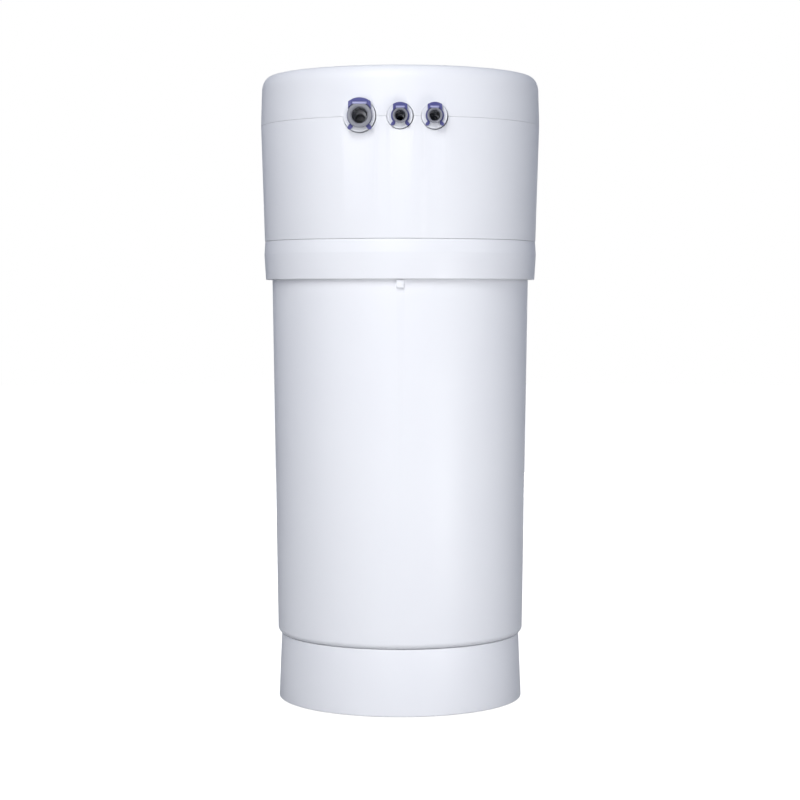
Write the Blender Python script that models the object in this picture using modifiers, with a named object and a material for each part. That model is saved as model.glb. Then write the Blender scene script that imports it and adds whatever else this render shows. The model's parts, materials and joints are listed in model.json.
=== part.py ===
"""Under-sink water filter: a white round housing with three push-fit tube ports.

Everything stands on the floor plane z = 0, with the housing's axis on Z and the
ports facing -Y. Lengths are metres. A turned piece is a profile of (radius, height)
points that runs down its outer side; a port piece is turned about Y, and its
heights are then distances in front of the housing's axis.
"""

import math
from dataclasses import dataclass

import bmesh
import bpy
from mathutils import Matrix

# Clearances, overruns and facet counts
CLEARANCE = 0.0003
TURNING_CLEARANCE = 0.0006
CUT_OVERRUN = 0.001
FUSE_OVERLAP = 0.0008
WELD_DISTANCE = 0.00001
SHELL_SEGMENTS = 40
VESSEL_SEGMENTS = 32
CORE_SEGMENTS = 24
PORT_SEGMENTS = 16
SCREW_SEGMENTS = 8
SEAL_CORD_SEGMENTS = 6
JOIN_START = math.radians(4)
CUT_START = math.radians(11)
FULL_TURN = 2 * math.pi
SHARP_ANGLE = math.radians(30)

# Rubber feet
FOOT_COUNT = 4
FOOT_RADIUS = 0.0070
FOOT_HEIGHT = 0.0027
FOOT_PROUD = 0.0008
FOOT_CHAMFER = 0.0004
FOOT_INSET = 0.0063
FOOT_START_ANGLE = math.radians(45)
FOOT_BOSS_RADIUS = 0.0085
FOOT_BOSS_RECESS = 0.0004

# Base skirt, which flares to the floor
BASE_HEIGHT = 0.0412
BASE_TOP_INSET = 0.0024
BASE_FLARE = 0.0018
BASE_WALL = 0.0028
BASE_DECK = 0.0030
BASE_EDGE = 0.0007
BASE_SEAT_INSET = 0.0091
BASE_SEAT_SLOPE = 0.0008

# Screws that hold the base, the shell and the vessel together
SCREW_COUNT = 4
SCREW_HEAD_RADIUS = 0.0027
SCREW_HEAD_HEIGHT = 0.0023
SCREW_SHANK_RADIUS = 0.0015
SCREW_DRIVE_RADIUS = 0.0013
SCREW_DRIVE_DEPTH = 0.0013
BASE_SCREW_INSET = 0.0160
BASE_SCREW_GRIP = 0.0095

# Lower shell
SHADOW_GAP = 0.0018
SHELL_VISIBLE_HEIGHT = 0.2346
SHELL_HIDDEN_HEIGHT = 0.0136
SHELL_SKIRT_GAP = 0.00455
SHELL_DRAFT = 0.00355
SHELL_FOOT_ROUND = 0.0040
SHELL_FOOT_STEPS = 3
SHELL_WALL = 0.0025
SHELL_FLOOR = 0.0030
SHELL_FLOOR_EDGE = 0.0080
INDEX_TAB_WIDTH = 0.0050
INDEX_TAB_HEIGHT = 0.0055
INDEX_TAB_PROUD = 0.0020
INDEX_TAB_EDGE = 0.0005

# Pressure vessel
VESSEL_RADIUS = 0.0740
VESSEL_WALL = 0.0050
VESSEL_BOSS_HEIGHT = 0.0105
VESSEL_BOSS_RADIUS = 0.0055
VESSEL_BOTTOM_BEND = 0.0080
VESSEL_TOP_DROP = 0.00345
NECK_HEIGHT = 0.0380
NECK_STEP = 0.0040
GUIDE_RING_DROP = 0.0080
GUIDE_RING_HEIGHT = 0.0035

# Ramped lugs that draw the head down on the vessel
LUG_COUNT = 3
LUG_LEAD = 0.0300
LUG_STEPS = 4
LUG_DROP = 0.0203
NECK_LUG_SPAN = math.radians(50)
NECK_LUG_REACH = 0.0035
NECK_LUG_HEIGHT = 0.0060
SKIRT_LUG_SPAN = math.radians(46)
SKIRT_LUG_REACH = 0.0035
SKIRT_LUG_HEIGHT = 0.0050

# Head block, which closes the vessel
HEAD_PLATE = 0.0097
SKIRT_LUG_GAP = 0.0007
HEAD_SKIRT_WALL = 0.0038
HEAD_SKIRT_DROP = 0.0280
PLUG_GAP = 0.0007
PLUG_WALL = 0.0063
PLUG_DEPTH = 0.0133
PLUG_ROOF_DROP = 0.0007
HUB_RADIUS = 0.0180
SPIGOT_BORE_RADIUS = 0.0135
SPIGOT_HEADROOM = 0.0030
TREATED_BORE_RADIUS = 0.0090
SEAL_CORD_RADIUS = 0.0015
SEAL_GROOVE_DEPTH = 0.0031
SEAL_GROOVE_WIDTH = 0.0036
SEAL_GROOVE_TOP_DROP = 0.0055
SEAL_SQUEEZE_GAP = 0.0005

# Locking collar, the band round the waist
COLLAR_HEIGHT = 0.02505
COLLAR_WIDE_WALL = 0.00442
COLLAR_WIDE_DROP = 0.0085
COLLAR_TOP_WALL = 0.0038
COLLAR_BOTTOM_WALL = 0.0034
COLLAR_EDGE = 0.0005
COLLAR_SHELL_GAP = 0.00065
COLLAR_FLANGE = 0.00445

# Screws from the collar up into the upper housing
HEAD_SCREW_OFFSET = 0.0030
HEAD_SCREW_START_ANGLE = math.radians(45)
HEAD_SCREW_GRIP = 0.0080

# Upper housing
HOUSING_HEIGHT = 0.0754
HOUSING_OVERHANG = 0.00026
HOUSING_WALL = 0.0025
HOUSING_EDGE = 0.0006
HOUSING_FLARE = 0.00228
HOUSING_BOSS_WIDTH = 0.0090
HOUSING_BOSS_HEIGHT = 0.0135
HOUSING_BOSS_SINK = 0.00044

# Top cover
COVER_SHOULDER_RISE = 0.02255
COVER_DRAFT = 0.00062
COVER_SHOULDER_WIDTH = 0.0060
COVER_SHOULDER_HEIGHT = 0.0095
COVER_SHOULDER_STEPS = 4
COVER_INNER_STEPS = 2
COVER_CROWN_RISE = 0.0025
COVER_CROWN_SHARES = (0.0, 0.6)
COVER_WALL = 0.0025
COVER_LIP_DEPTH = 0.0075
COVER_LIP_WALL = 0.0020
COVER_LIP_RISE = 0.0025
COVER_LIP_SLOPE = 0.0025
LIP_NOTCH_GAP = 0.0004

# Cartridge
CARTRIDGE_NECK_GAP = 0.0050
CARTRIDGE_CAP_WALL = 0.0023
CARTRIDGE_CAP_PLATE = 0.0040
CARTRIDGE_CAP_RIM = 0.0100
SLEEVE_THICKNESS = 0.0021
CORE_TUBE_RADIUS = 0.0120
CORE_TUBE_WALL = 0.0024
SPIGOT_RADIUS = 0.0120
SPIGOT_BORE = 0.0070
SPIGOT_LENGTH = 0.0234
SPIGOT_SEAL_COUNT = 2
SPIGOT_SEAL_CORD_RADIUS = 0.00105
SPIGOT_GROOVE_DEPTH = 0.0013
SPIGOT_GROOVE_WIDTH = 0.0026
SPIGOT_GROOVE_PITCH = 0.0048
SPIGOT_GROOVE_TOP_DROP = 0.0038

# Port block with its three barrels
BOSS_PROUD = 0.00046
HOLE_GAP = 0.00035
PORT_HOLE_DEPTH = 0.0225
BAR_SETBACK = 0.0305
BAR_DEPTH = 0.0120
BAR_HALF_HEIGHT = 0.0105
BAR_END_MARGIN = 0.0012
BAR_EDGE = 0.0010
FEED_PIPE_RADIUS = 0.0065
FEED_PIPE_SETBACK = 0.0030
FEED_ELBOW_RADIUS = 0.0090
FEED_BORE_RADIUS = 0.0033
FEED_FOOT_RADIUS = 0.0150
FEED_SCREW_OFFSET = 0.0105
POST_RADIUS = 0.0050
POST_X = 0.0260
POST_FOOT_RADIUS = 0.0120
POST_SCREW_OFFSET = 0.0085
FOOT_PLATE = 0.0040
TREATED_WAY_RADIUS = 0.0024
OUTLET_WAY_RADIUS = 0.0030
CROSS_WAY_RADIUS = 0.0020
BLOCK_SCREW_GRIP = 0.0060

# Bushes, collets, clips and tube seals, measured forward from the axis
BUSH_LENGTH = 0.0122
BUSH_WALL = 0.0020
TUBE_CLEARANCE = 0.0001
CLIP_THICKNESS = 0.0015
COLLET_TRAVEL = 0.0010
COLLET_STOP_GAP = 0.0002
COLLET_FLANGE_THICKNESS = 0.0013
COLLET_LENGTH = 0.0115
COLLET_MOUTH = 0.0009
COLLET_EDGE = 0.0003
COLLET_SLIT_WIDTH = 0.0009
COLLET_SLIT_LENGTH = 0.0060
SEAL_CHAMBER_LENGTH = 0.0034
SEAL_BORE_GAP = 0.0001
TUBE_STOP_DEPTH = 0.0102
TUBE_SOCKET_GAP = 0.0002
SLOT_GAP = 0.00025
HOOD_GAP = 0.0005
CLIP_ARC_STEPS = 5
LEG_ROUND_STEPS = 3

# Lamp chamber and its stack, on the axis above the head block
CHAMBER_RADIUS = 0.0205
CHAMBER_WALL = 0.0035
CHAMBER_TOP_RISE = 0.00885
CHAMBER_FLANGE_RADIUS = 0.0290
CHAMBER_FLANGE = 0.0040
CHAMBER_FLOOR = 0.0035
CHAMBER_FLOOR_SLOPE = 0.0025
CHAMBER_SPIGOT_LENGTH = 0.0060
CHAMBER_SPIGOT_WALL = 0.0026
CHAMBER_STUB_RADIUS = 0.0060
WINDOW_RADIUS = 0.0210
WINDOW_THICKNESS = 0.0020
LAMP_SIDE = 0.0035
LAMP_HEIGHT = 0.0010
LAMP_BOARD_THICKNESS = 0.0016
SINK_PLATE = 0.0030
SINK_HEADROOM = 0.0040
SINK_FIN_COUNT = 6
SINK_FIN_THICKNESS = 0.0016
SINK_FIN_SPAN = 0.0330
SINK_FIN_LENGTH = 0.0380
SINK_SCREW_COUNT = 3
SINK_SCREW_CIRCLE_RADIUS = 0.0253
SINK_SCREW_START_ANGLE = math.radians(90)
SINK_SCREW_GRIP = 0.0020

# Flow sensor between the lamp chamber and the port block
SENSOR_X = -0.0035
SENSOR_SETBACK = 0.0105
SENSOR_STUB_REACH = 0.0101
SENSOR_RADIUS = 0.0098
SENSOR_WALL = 0.0015
SENSOR_HEIGHT = 0.0110
SENSOR_LID = 0.0015
SENSOR_STUB_RADIUS = 0.0050
ROTOR_RADIUS = 0.0076
ROTOR_HUB_RADIUS = 0.0022
ROTOR_HEIGHT = 0.0065
ROTOR_BLADE_COUNT = 6
ROTOR_BLADE_THICKNESS = 0.0009
AXLE_RADIUS = 0.0007

# Control board and power socket, at the back of the upper housing
BOARD_WIDTH = 0.0640
BOARD_HEIGHT = 0.0460
BOARD_THICKNESS = 0.0016
BOARD_RISE = 0.01825
BOARD_SETBACK = 0.02204
POST_INSET = 0.0060
BOARD_POST_RADIUS = 0.0030
BOARD_PIN_RADIUS = 0.0012
BOARD_PIN_PROUD = 0.0015
BOARD_POST_SINK = 0.0010
SOCKET_WIDTH = 0.0150
SOCKET_HEIGHT = 0.0120
SOCKET_RISE = 0.02825
SOCKET_PROUD = 0.0006
SOCKET_HOLE_GAP = 0.0004
SOCKET_WINDOW_SETBACK = 0.0060
SOCKET_BORE_RADIUS = 0.0032
SOCKET_BORE_DEPTH = 0.0090
SOCKET_PIN_RADIUS = 0.0010

# Radii that follow from the sizes above
NECK_RADIUS = VESSEL_RADIUS - NECK_STEP
NECK_BORE_RADIUS = NECK_RADIUS - VESSEL_WALL
PLUG_RADIUS = NECK_BORE_RADIUS - PLUG_GAP
CARTRIDGE_CAP_RADIUS = NECK_BORE_RADIUS - CARTRIDGE_NECK_GAP
SLEEVE_RADIUS = CARTRIDGE_CAP_RADIUS - CARTRIDGE_CAP_WALL - CLEARANCE
CARBON_RADIUS = SLEEVE_RADIUS - SLEEVE_THICKNESS - CLEARANCE
HEAD_SKIRT_RADIUS = NECK_RADIUS + NECK_LUG_REACH + SKIRT_LUG_GAP + HEAD_SKIRT_WALL
HEAD_SCREW_CIRCLE_RADIUS = HEAD_SKIRT_RADIUS + HEAD_SCREW_OFFSET
SHELL_TOP_RADIUS = HEAD_SKIRT_RADIUS + SHELL_SKIRT_GAP + SHELL_WALL
SHELL_FOOT_RADIUS = SHELL_TOP_RADIUS - SHELL_DRAFT
BASE_SCREW_CIRCLE_RADIUS = VESSEL_RADIUS - BASE_SCREW_INSET
SHELL_FLOOR_HOLE_RADIUS = BASE_SCREW_CIRCLE_RADIUS - SHELL_FLOOR_EDGE
BASE_TOP_RADIUS = SHELL_FOOT_RADIUS - BASE_TOP_INSET
BASE_BOTTOM_RADIUS = BASE_TOP_RADIUS + BASE_FLARE
BASE_SEAT_RADIUS = BASE_TOP_RADIUS - BASE_SEAT_INSET
FOOT_CIRCLE_RADIUS = BASE_TOP_RADIUS - BASE_WALL - FOOT_INSET
COLLAR_BORE_RADIUS = SHELL_TOP_RADIUS + COLLAR_SHELL_GAP
COLLAR_TOP_RADIUS = COLLAR_BORE_RADIUS + COLLAR_TOP_WALL
COLLAR_WIDE_RADIUS = COLLAR_BORE_RADIUS + COLLAR_WIDE_WALL
COLLAR_BOTTOM_RADIUS = COLLAR_BORE_RADIUS + COLLAR_BOTTOM_WALL
HOUSING_BOTTOM_RADIUS = COLLAR_TOP_RADIUS + HOUSING_OVERHANG
SEAM_RADIUS = HOUSING_BOTTOM_RADIUS + HOUSING_FLARE
COVER_SHOULDER_RADIUS = SEAM_RADIUS - COVER_DRAFT

# Distances in front of or behind the axis that follow
BOSS_FACE = SEAM_RADIUS + BOSS_PROUD
BAR_FRONT = BOSS_FACE - BAR_SETBACK
BAR_BACK = BAR_FRONT - BAR_DEPTH
FEED_PIPE_FORWARD = BAR_BACK - FEED_PIPE_SETBACK
SENSOR_FORWARD = BAR_BACK - SENSOR_SETBACK
CHAMBER_STUB_END = SENSOR_FORWARD - SENSOR_STUB_REACH
CLIP_BACK = BOSS_FACE + CLEARANCE
CLIP_FRONT = CLIP_BACK + CLIP_THICKNESS
COLLET_FLANGE_BACK = CLIP_FRONT + COLLET_TRAVEL + COLLET_STOP_GAP
COLLET_FRONT = COLLET_FLANGE_BACK + COLLET_FLANGE_THICKNESS
BUSH_FRONT = BOSS_FACE - CLEARANCE
BUSH_SHOULDER = BUSH_FRONT - BUSH_LENGTH - CLEARANCE
SEAL_CHAMBER_BACK = BUSH_SHOULDER - SEAL_CHAMBER_LENGTH
TUBE_STOP = SEAL_CHAMBER_BACK - TUBE_STOP_DEPTH
BOARD_BACK_Y = SEAM_RADIUS - BOARD_SETBACK

# Heights that follow
BASE_BOTTOM_Z = FOOT_PROUD
BASE_TOP_Z = BASE_BOTTOM_Z + BASE_HEIGHT
SHELL_BOTTOM_Z = BASE_TOP_Z + SHADOW_GAP
BASE_SEAT_Z = SHELL_BOTTOM_Z - CLEARANCE
DECK_UNDERSIDE_Z = BASE_TOP_Z - BASE_DECK
COLLAR_BOTTOM_Z = SHELL_BOTTOM_Z + SHELL_VISIBLE_HEIGHT
SHELL_TOP_Z = COLLAR_BOTTOM_Z + SHELL_HIDDEN_HEIGHT
COLLAR_TOP_Z = COLLAR_BOTTOM_Z + COLLAR_HEIGHT
HOUSING_BOTTOM_Z = COLLAR_TOP_Z + CLEARANCE
HOUSING_TOP_Z = HOUSING_BOTTOM_Z + HOUSING_HEIGHT
COVER_BOTTOM_Z = HOUSING_TOP_Z + CLEARANCE
COVER_SHOULDER_Z = COVER_BOTTOM_Z + COVER_SHOULDER_RISE
COVER_EDGE_Z = COVER_SHOULDER_Z + COVER_SHOULDER_HEIGHT
PORT_Z = (HOUSING_TOP_Z + COVER_BOTTOM_Z) / 2
VESSEL_BOTTOM_Z = SHELL_BOTTOM_Z + SHELL_FLOOR + CLEARANCE
VESSEL_FLOOR_Z = VESSEL_BOTTOM_Z + VESSEL_BOSS_HEIGHT + VESSEL_WALL
VESSEL_TOP_Z = COLLAR_TOP_Z - VESSEL_TOP_DROP
VESSEL_SHOULDER_Z = VESSEL_TOP_Z - NECK_HEIGHT
GUIDE_RING_TOP_Z = VESSEL_SHOULDER_Z - GUIDE_RING_DROP
LUG_CENTRE_Z = VESSEL_TOP_Z - LUG_DROP
HEAD_SKIRT_BOTTOM_Z = VESSEL_TOP_Z - HEAD_SKIRT_DROP
HEAD_UNDERSIDE_Z = VESSEL_TOP_Z + CLEARANCE
HEAD_TOP_Z = HEAD_UNDERSIDE_Z + HEAD_PLATE
ON_HEAD_Z = HEAD_TOP_Z + CLEARANCE
SPIGOT_TOP_Z = VESSEL_TOP_Z
SPIGOT_BORE_ROOF_Z = SPIGOT_TOP_Z + SPIGOT_HEADROOM
CARTRIDGE_TOP_Z = SPIGOT_TOP_Z - SPIGOT_LENGTH
CARTRIDGE_BOTTOM_Z = VESSEL_FLOOR_Z + CLEARANCE
CARTRIDGE_CORE_BOTTOM_Z = CARTRIDGE_BOTTOM_Z + CARTRIDGE_CAP_PLATE + CLEARANCE
CARTRIDGE_CORE_TOP_Z = CARTRIDGE_TOP_Z - CARTRIDGE_CAP_PLATE - CLEARANCE
CHAMBER_TOP_Z = HOUSING_TOP_Z + CHAMBER_TOP_RISE
WINDOW_BOTTOM_Z = CHAMBER_TOP_Z + CLEARANCE
LAMP_BOTTOM_Z = WINDOW_BOTTOM_Z + WINDOW_THICKNESS + CLEARANCE
LAMP_BOARD_Z = LAMP_BOTTOM_Z + LAMP_HEIGHT
SINK_BOTTOM_Z = LAMP_BOARD_Z + LAMP_BOARD_THICKNESS + CLEARANCE
SINK_TOP_Z = COVER_EDGE_Z - SINK_HEADROOM
SENSOR_BOTTOM_Z = PORT_Z - SENSOR_HEIGHT / 2
BOARD_BOTTOM_Z = HOUSING_BOTTOM_Z + BOARD_RISE
SOCKET_Z = HOUSING_BOTTOM_Z + SOCKET_RISE


@dataclass(frozen=True)
class Port:
    """One push-fit port, with the sizes that its tube and the photograph set."""

    name: str
    x: float
    tube_radius: float
    collet_wall: float
    flange_radius: float
    hole_radius: float
    ring_radius: float
    clip_radius: float
    grip_half_width: float
    leg_width: float
    leg_angle: float
    seal_cord_radius: float

    @property
    def bore_radius(self):
        return self.tube_radius + TUBE_CLEARANCE

    @property
    def barrel_radius(self):
        return self.bore_radius + self.collet_wall

    @property
    def bush_bore_radius(self):
        return self.barrel_radius + CLEARANCE

    @property
    def bush_radius(self):
        return self.bush_bore_radius + BUSH_WALL

    @property
    def seat_radius(self):
        return self.bush_radius + CLEARANCE

    @property
    def boss_radius(self):
        return self.hole_radius - HOLE_GAP

    @property
    def seal_radius(self):
        return self.bore_radius + SEAL_BORE_GAP + self.seal_cord_radius

    @property
    def seal_chamber_radius(self):
        return self.seal_radius + self.seal_cord_radius + CLEARANCE

    @property
    def slot_half_width(self):
        return self.barrel_radius + SLOT_GAP


PORTS = (
    Port(
        name="large",
        x=-0.0252,
        tube_radius=0.0047625,
        collet_wall=0.00115,
        flange_radius=0.00765,
        hole_radius=0.01035,
        ring_radius=0.0083,
        clip_radius=0.0111,
        grip_half_width=0.0071,
        leg_width=0.0026,
        leg_angle=math.radians(50),
        seal_cord_radius=0.0011,
    ),
    Port(
        name="middle",
        x=0.0,
        tube_radius=0.003175,
        collet_wall=0.00075,
        flange_radius=0.00475,
        hole_radius=0.0084,
        ring_radius=0.0057,
        clip_radius=0.0081,
        grip_half_width=0.0045,
        leg_width=0.0021,
        leg_angle=math.radians(48),
        seal_cord_radius=0.0009,
    ),
    Port(
        name="right",
        x=0.02145,
        tube_radius=0.003175,
        collet_wall=0.00075,
        flange_radius=0.00475,
        hole_radius=0.0084,
        ring_radius=0.0057,
        clip_radius=0.0081,
        grip_half_width=0.0045,
        leg_width=0.0021,
        leg_angle=math.radians(48),
        seal_cord_radius=0.0009,
    ),
)


# Scene set-up and general helpers


def clear_scene():
    """Remove every object of the scene."""
    for item in list(bpy.data.objects):
        bpy.data.objects.remove(item, do_unlink=True)


def new_collection(name):
    """Add a collection under the scene's own."""
    collection = bpy.data.collections.new(name)
    bpy.context.scene.collection.children.link(collection)
    return collection


def finish(name, colour, roughness, metallic=0.0):
    """Make a plain Principled material."""
    material = bpy.data.materials.new(name)
    material.use_nodes = True
    shader = material.node_tree.nodes["Principled BSDF"]
    shader.inputs["Base Color"].default_value = (*colour, 1.0)
    shader.inputs["Roughness"].default_value = roughness
    shader.inputs["Metallic"].default_value = metallic
    return material


def place(name, mesh, material, parent=None):
    """Link a mesh as one piece of the filter, or as a helper if it has no finish."""
    piece = bpy.data.objects.new(name, mesh)
    if material is None:
        CUTTERS.objects.link(piece)
        piece.hide_render = True
        piece.display_type = "WIRE"
    else:
        FILTER.objects.link(piece)
        mesh.materials.append(material)
    piece.parent = parent
    return piece


def body_empty(name):
    """Add the empty that a moving body hangs from, on the housing's axis."""
    empty = bpy.data.objects.new(name, None)
    FILTER.objects.link(empty)
    return empty


def shade_round(mesh):
    """Shade a round mesh smooth, keeping its corners sharp."""
    mesh.shade_smooth()
    mesh.set_sharp_from_angle(angle=SHARP_ANGLE)


def turned(name, profile, segments, material, parent=None, closed=True, start=0.0):
    """Turn a profile of (radius, height) points about the piece's own Z axis."""
    mesh = bpy.data.meshes.new(name)
    across = math.cos(start)
    along = math.sin(start)
    points = [(radius * across, radius * along, height) for radius, height in profile]
    edges = [(index, index + 1) for index in range(len(points) - 1)]
    if closed:
        edges.append((len(points) - 1, 0))
    mesh.from_pydata(points, edges, [])
    piece = place(name, mesh, material, parent)
    screw = piece.modifiers.new("Turn", "SCREW")
    screw.steps = segments
    screw.render_steps = segments
    screw.use_merge_vertices = True
    screw.merge_threshold = WELD_DISTANCE
    screw.use_smooth_shade = True
    return piece


def solid_of(name, profile, segments, material, parent=None, start=0.0):
    """Turn an open profile whose two ends lie on the axis."""
    return turned(name, profile, segments, material, parent, closed=False, start=start)


def rod_profile(radius, bottom, top):
    """Give the profile of a plain round bar between two heights."""
    return [(0.0, top), (radius, top), (radius, bottom), (0.0, bottom)]


def tube_profile(outer, inner, bottom, top):
    """Give the profile of a plain tube between two heights."""
    return [(outer, top), (outer, bottom), (inner, bottom), (inner, top)]


def block(name, low, high, material, parent=None, edge=0.0):
    """Make a box between two corners, with rounded edges if an edge is given."""
    mesh = bpy.data.meshes.new(name)
    size = [top - bottom for bottom, top in zip(low, high)]
    centre = [(top + bottom) / 2 for bottom, top in zip(low, high)]
    cage = bmesh.new()
    bmesh.ops.create_cube(cage, size=1.0)
    bmesh.ops.scale(cage, vec=size, verts=cage.verts)
    bmesh.ops.translate(cage, vec=centre, verts=cage.verts)
    cage.to_mesh(mesh)
    cage.free()
    piece = place(name, mesh, material, parent)
    if edge:
        bevel = piece.modifiers.new("Edges", "BEVEL")
        bevel.width = edge
        bevel.segments = 1
    return piece


def face_forward(piece, x=0.0, z=PORT_Z):
    """Turn a piece so that its own Z axis points out of the ports."""
    piece.location = (x, 0.0, z)
    piece.rotation_euler = (math.pi / 2, 0.0, 0.0)
    return piece


def cut(target, tool):
    """Cut a helper out of a piece."""
    modifier = target.modifiers.new("Cut " + tool.name, "BOOLEAN")
    modifier.operation = "DIFFERENCE"
    modifier.solver = "EXACT"
    modifier.object = tool


def fuse(target, tool):
    """Join a helper to a piece."""
    modifier = target.modifiers.new("Join " + tool.name, "BOOLEAN")
    modifier.operation = "UNION"
    modifier.solver = "EXACT"
    modifier.object = tool


def bore(name, radius, bottom, top, segments=SCREW_SEGMENTS):
    """Make a round cutter, its facets turned away from those of the piece."""
    return solid_of(name, rod_profile(radius, bottom, top), segments, None, start=CUT_START)


def stud(name, radius, bottom, top, segments=PORT_SEGMENTS):
    """Make a round helper to join, its facets turned away from cutters and pieces."""
    return solid_of(name, rod_profile(radius, bottom, top), segments, None, start=JOIN_START)


def on_circle(count, radius, start=0.0):
    """Give evenly spaced places round the housing's axis."""
    angles = [start + index * FULL_TURN / count for index in range(count)]
    return [(radius * math.cos(angle), radius * math.sin(angle), angle) for angle in angles]


def drafted(height, bottom, top, bottom_radius, top_radius):
    """Give the radius of a straight drafted wall at a height."""
    share = (height - bottom) / (top - bottom)
    return bottom_radius + share * (top_radius - bottom_radius)


def arc(centre_x, centre_y, radius_x, radius_y, start, end, steps):
    """Give the points of an elliptic arc, both ends included."""
    angles = [start + (end - start) * index / steps for index in range(steps + 1)]
    return [
        (centre_x + radius_x * math.cos(angle), centre_y + radius_y * math.sin(angle))
        for angle in angles
    ]


def screw(name, grip_bottom, grip_top, material, parent, place_at, head_up):
    """Make a pan-head screw with a round drive recess, its shank between two heights."""
    length = grip_top - grip_bottom
    profile = [
        (0.0, SCREW_HEAD_HEIGHT - SCREW_DRIVE_DEPTH),
        (SCREW_DRIVE_RADIUS, SCREW_HEAD_HEIGHT - SCREW_DRIVE_DEPTH),
        (SCREW_DRIVE_RADIUS, SCREW_HEAD_HEIGHT),
        (SCREW_HEAD_RADIUS, SCREW_HEAD_HEIGHT),
        (SCREW_HEAD_RADIUS, 0.0),
        (SCREW_SHANK_RADIUS, 0.0),
        (SCREW_SHANK_RADIUS, -length),
        (0.0, -length),
    ]
    piece = solid_of(name, profile, SCREW_SEGMENTS, material, parent)
    if head_up:
        piece.location = (place_at[0], place_at[1], grip_top)
    else:
        piece.location = (place_at[0], place_at[1], grip_bottom)
        piece.rotation_euler = (math.pi, 0.0, 0.0)
    return piece


def screw_hole(name, bottom, top, place_at):
    """Make the cutter of a screw's hole at a place."""
    hole = bore(name, SCREW_SHANK_RADIUS + CLEARANCE, bottom, top)
    hole.location = (place_at[0], place_at[1], 0.0)
    return hole


def seal_ring(name, ring_radius, cord_radius, segments, height, material, parent):
    """Make a round seal about its own Z axis."""
    bpy.ops.mesh.primitive_torus_add(
        major_radius=ring_radius,
        minor_radius=cord_radius,
        major_segments=segments,
        minor_segments=SEAL_CORD_SEGMENTS,
        location=(0.0, 0.0, 0.0),
    )
    maker = bpy.context.object
    mesh = maker.data
    bpy.data.objects.remove(maker)
    mesh.name = name
    shade_round(mesh)
    piece = place(name, mesh, material, parent)
    piece.location = (0.0, 0.0, height)
    return piece


def plate_from_outline(name, outline, back, front, material, parent=None):
    """Extrude a flat outline of (x, z) points between two distances from the axis."""
    curve = bpy.data.curves.new(name, "CURVE")
    curve.dimensions = "2D"
    curve.fill_mode = "BOTH"
    curve.extrude = (front - back) / 2
    spline = curve.splines.new("POLY")
    spline.points.add(len(outline) - 1)
    for point, (across, up) in zip(spline.points, outline):
        point.co = (across, up, 0.0, 1.0)
    spline.use_cyclic_u = True
    maker = bpy.data.objects.new(name, curve)
    bpy.context.scene.collection.objects.link(maker)
    graph = bpy.context.evaluated_depsgraph_get()
    mesh = bpy.data.meshes.new_from_object(maker.evaluated_get(graph))
    bpy.data.objects.remove(maker)
    cage = bmesh.new()
    cage.from_mesh(mesh)
    bmesh.ops.remove_doubles(cage, verts=cage.verts, dist=WELD_DISTANCE)
    bmesh.ops.translate(cage, vec=(0.0, 0.0, (front + back) / 2), verts=cage.verts)
    bmesh.ops.recalc_face_normals(cage, faces=cage.faces)
    cage.to_mesh(mesh)
    cage.free()
    return place(name, mesh, material, parent)


def ramped_lug(name, inner, outer, bottom_z, height, span, middle):
    """Make one lug that climbs with the lead as it runs round the axis."""
    rise = LUG_LEAD * span / FULL_TURN
    start_z = bottom_z - rise / 2
    cage = bmesh.new()
    corners = [
        (inner, 0.0, start_z),
        (outer, 0.0, start_z),
        (outer, 0.0, start_z + height),
        (inner, 0.0, start_z + height),
    ]
    face = cage.faces.new([cage.verts.new(corner) for corner in corners])
    bmesh.ops.spin(
        cage,
        geom=[face, *face.edges, *face.verts],
        cent=(0.0, 0.0, 0.0),
        axis=(0.0, 0.0, 1.0),
        dvec=(0.0, 0.0, rise / LUG_STEPS),
        angle=span,
        steps=LUG_STEPS,
        use_duplicate=False,
    )
    bmesh.ops.recalc_face_normals(cage, faces=cage.faces)
    mesh = bpy.data.meshes.new(name)
    cage.to_mesh(mesh)
    cage.free()
    lug = place(name, mesh, None)
    lug.rotation_euler = (0.0, 0.0, middle - span / 2)
    return lug


# Finishes


def white_plastic(name):
    """Glossy cool white, as on the shells."""
    return finish(name, (0.86, 0.87, 0.90), 0.25)


def grey_plastic(name):
    """Mid grey with a little violet, as on the collets."""
    return finish(name, (0.30, 0.30, 0.37), 0.40)


def violet_plastic(name):
    """Violet blue, as on the clips."""
    return finish(name, (0.09, 0.09, 0.36), 0.40)


def plain_plastic(name):
    """Natural moulded plastic of the hidden water parts."""
    return finish(name, (0.62, 0.64, 0.66), 0.50)


def rubber(name):
    """Black rubber of feet and seals."""
    return finish(name, (0.02, 0.02, 0.02), 0.80)


def steel(name):
    """Plain steel of screws and the axle."""
    return finish(name, (0.55, 0.55, 0.57), 0.35, 1.0)


# Base and lower shell


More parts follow.
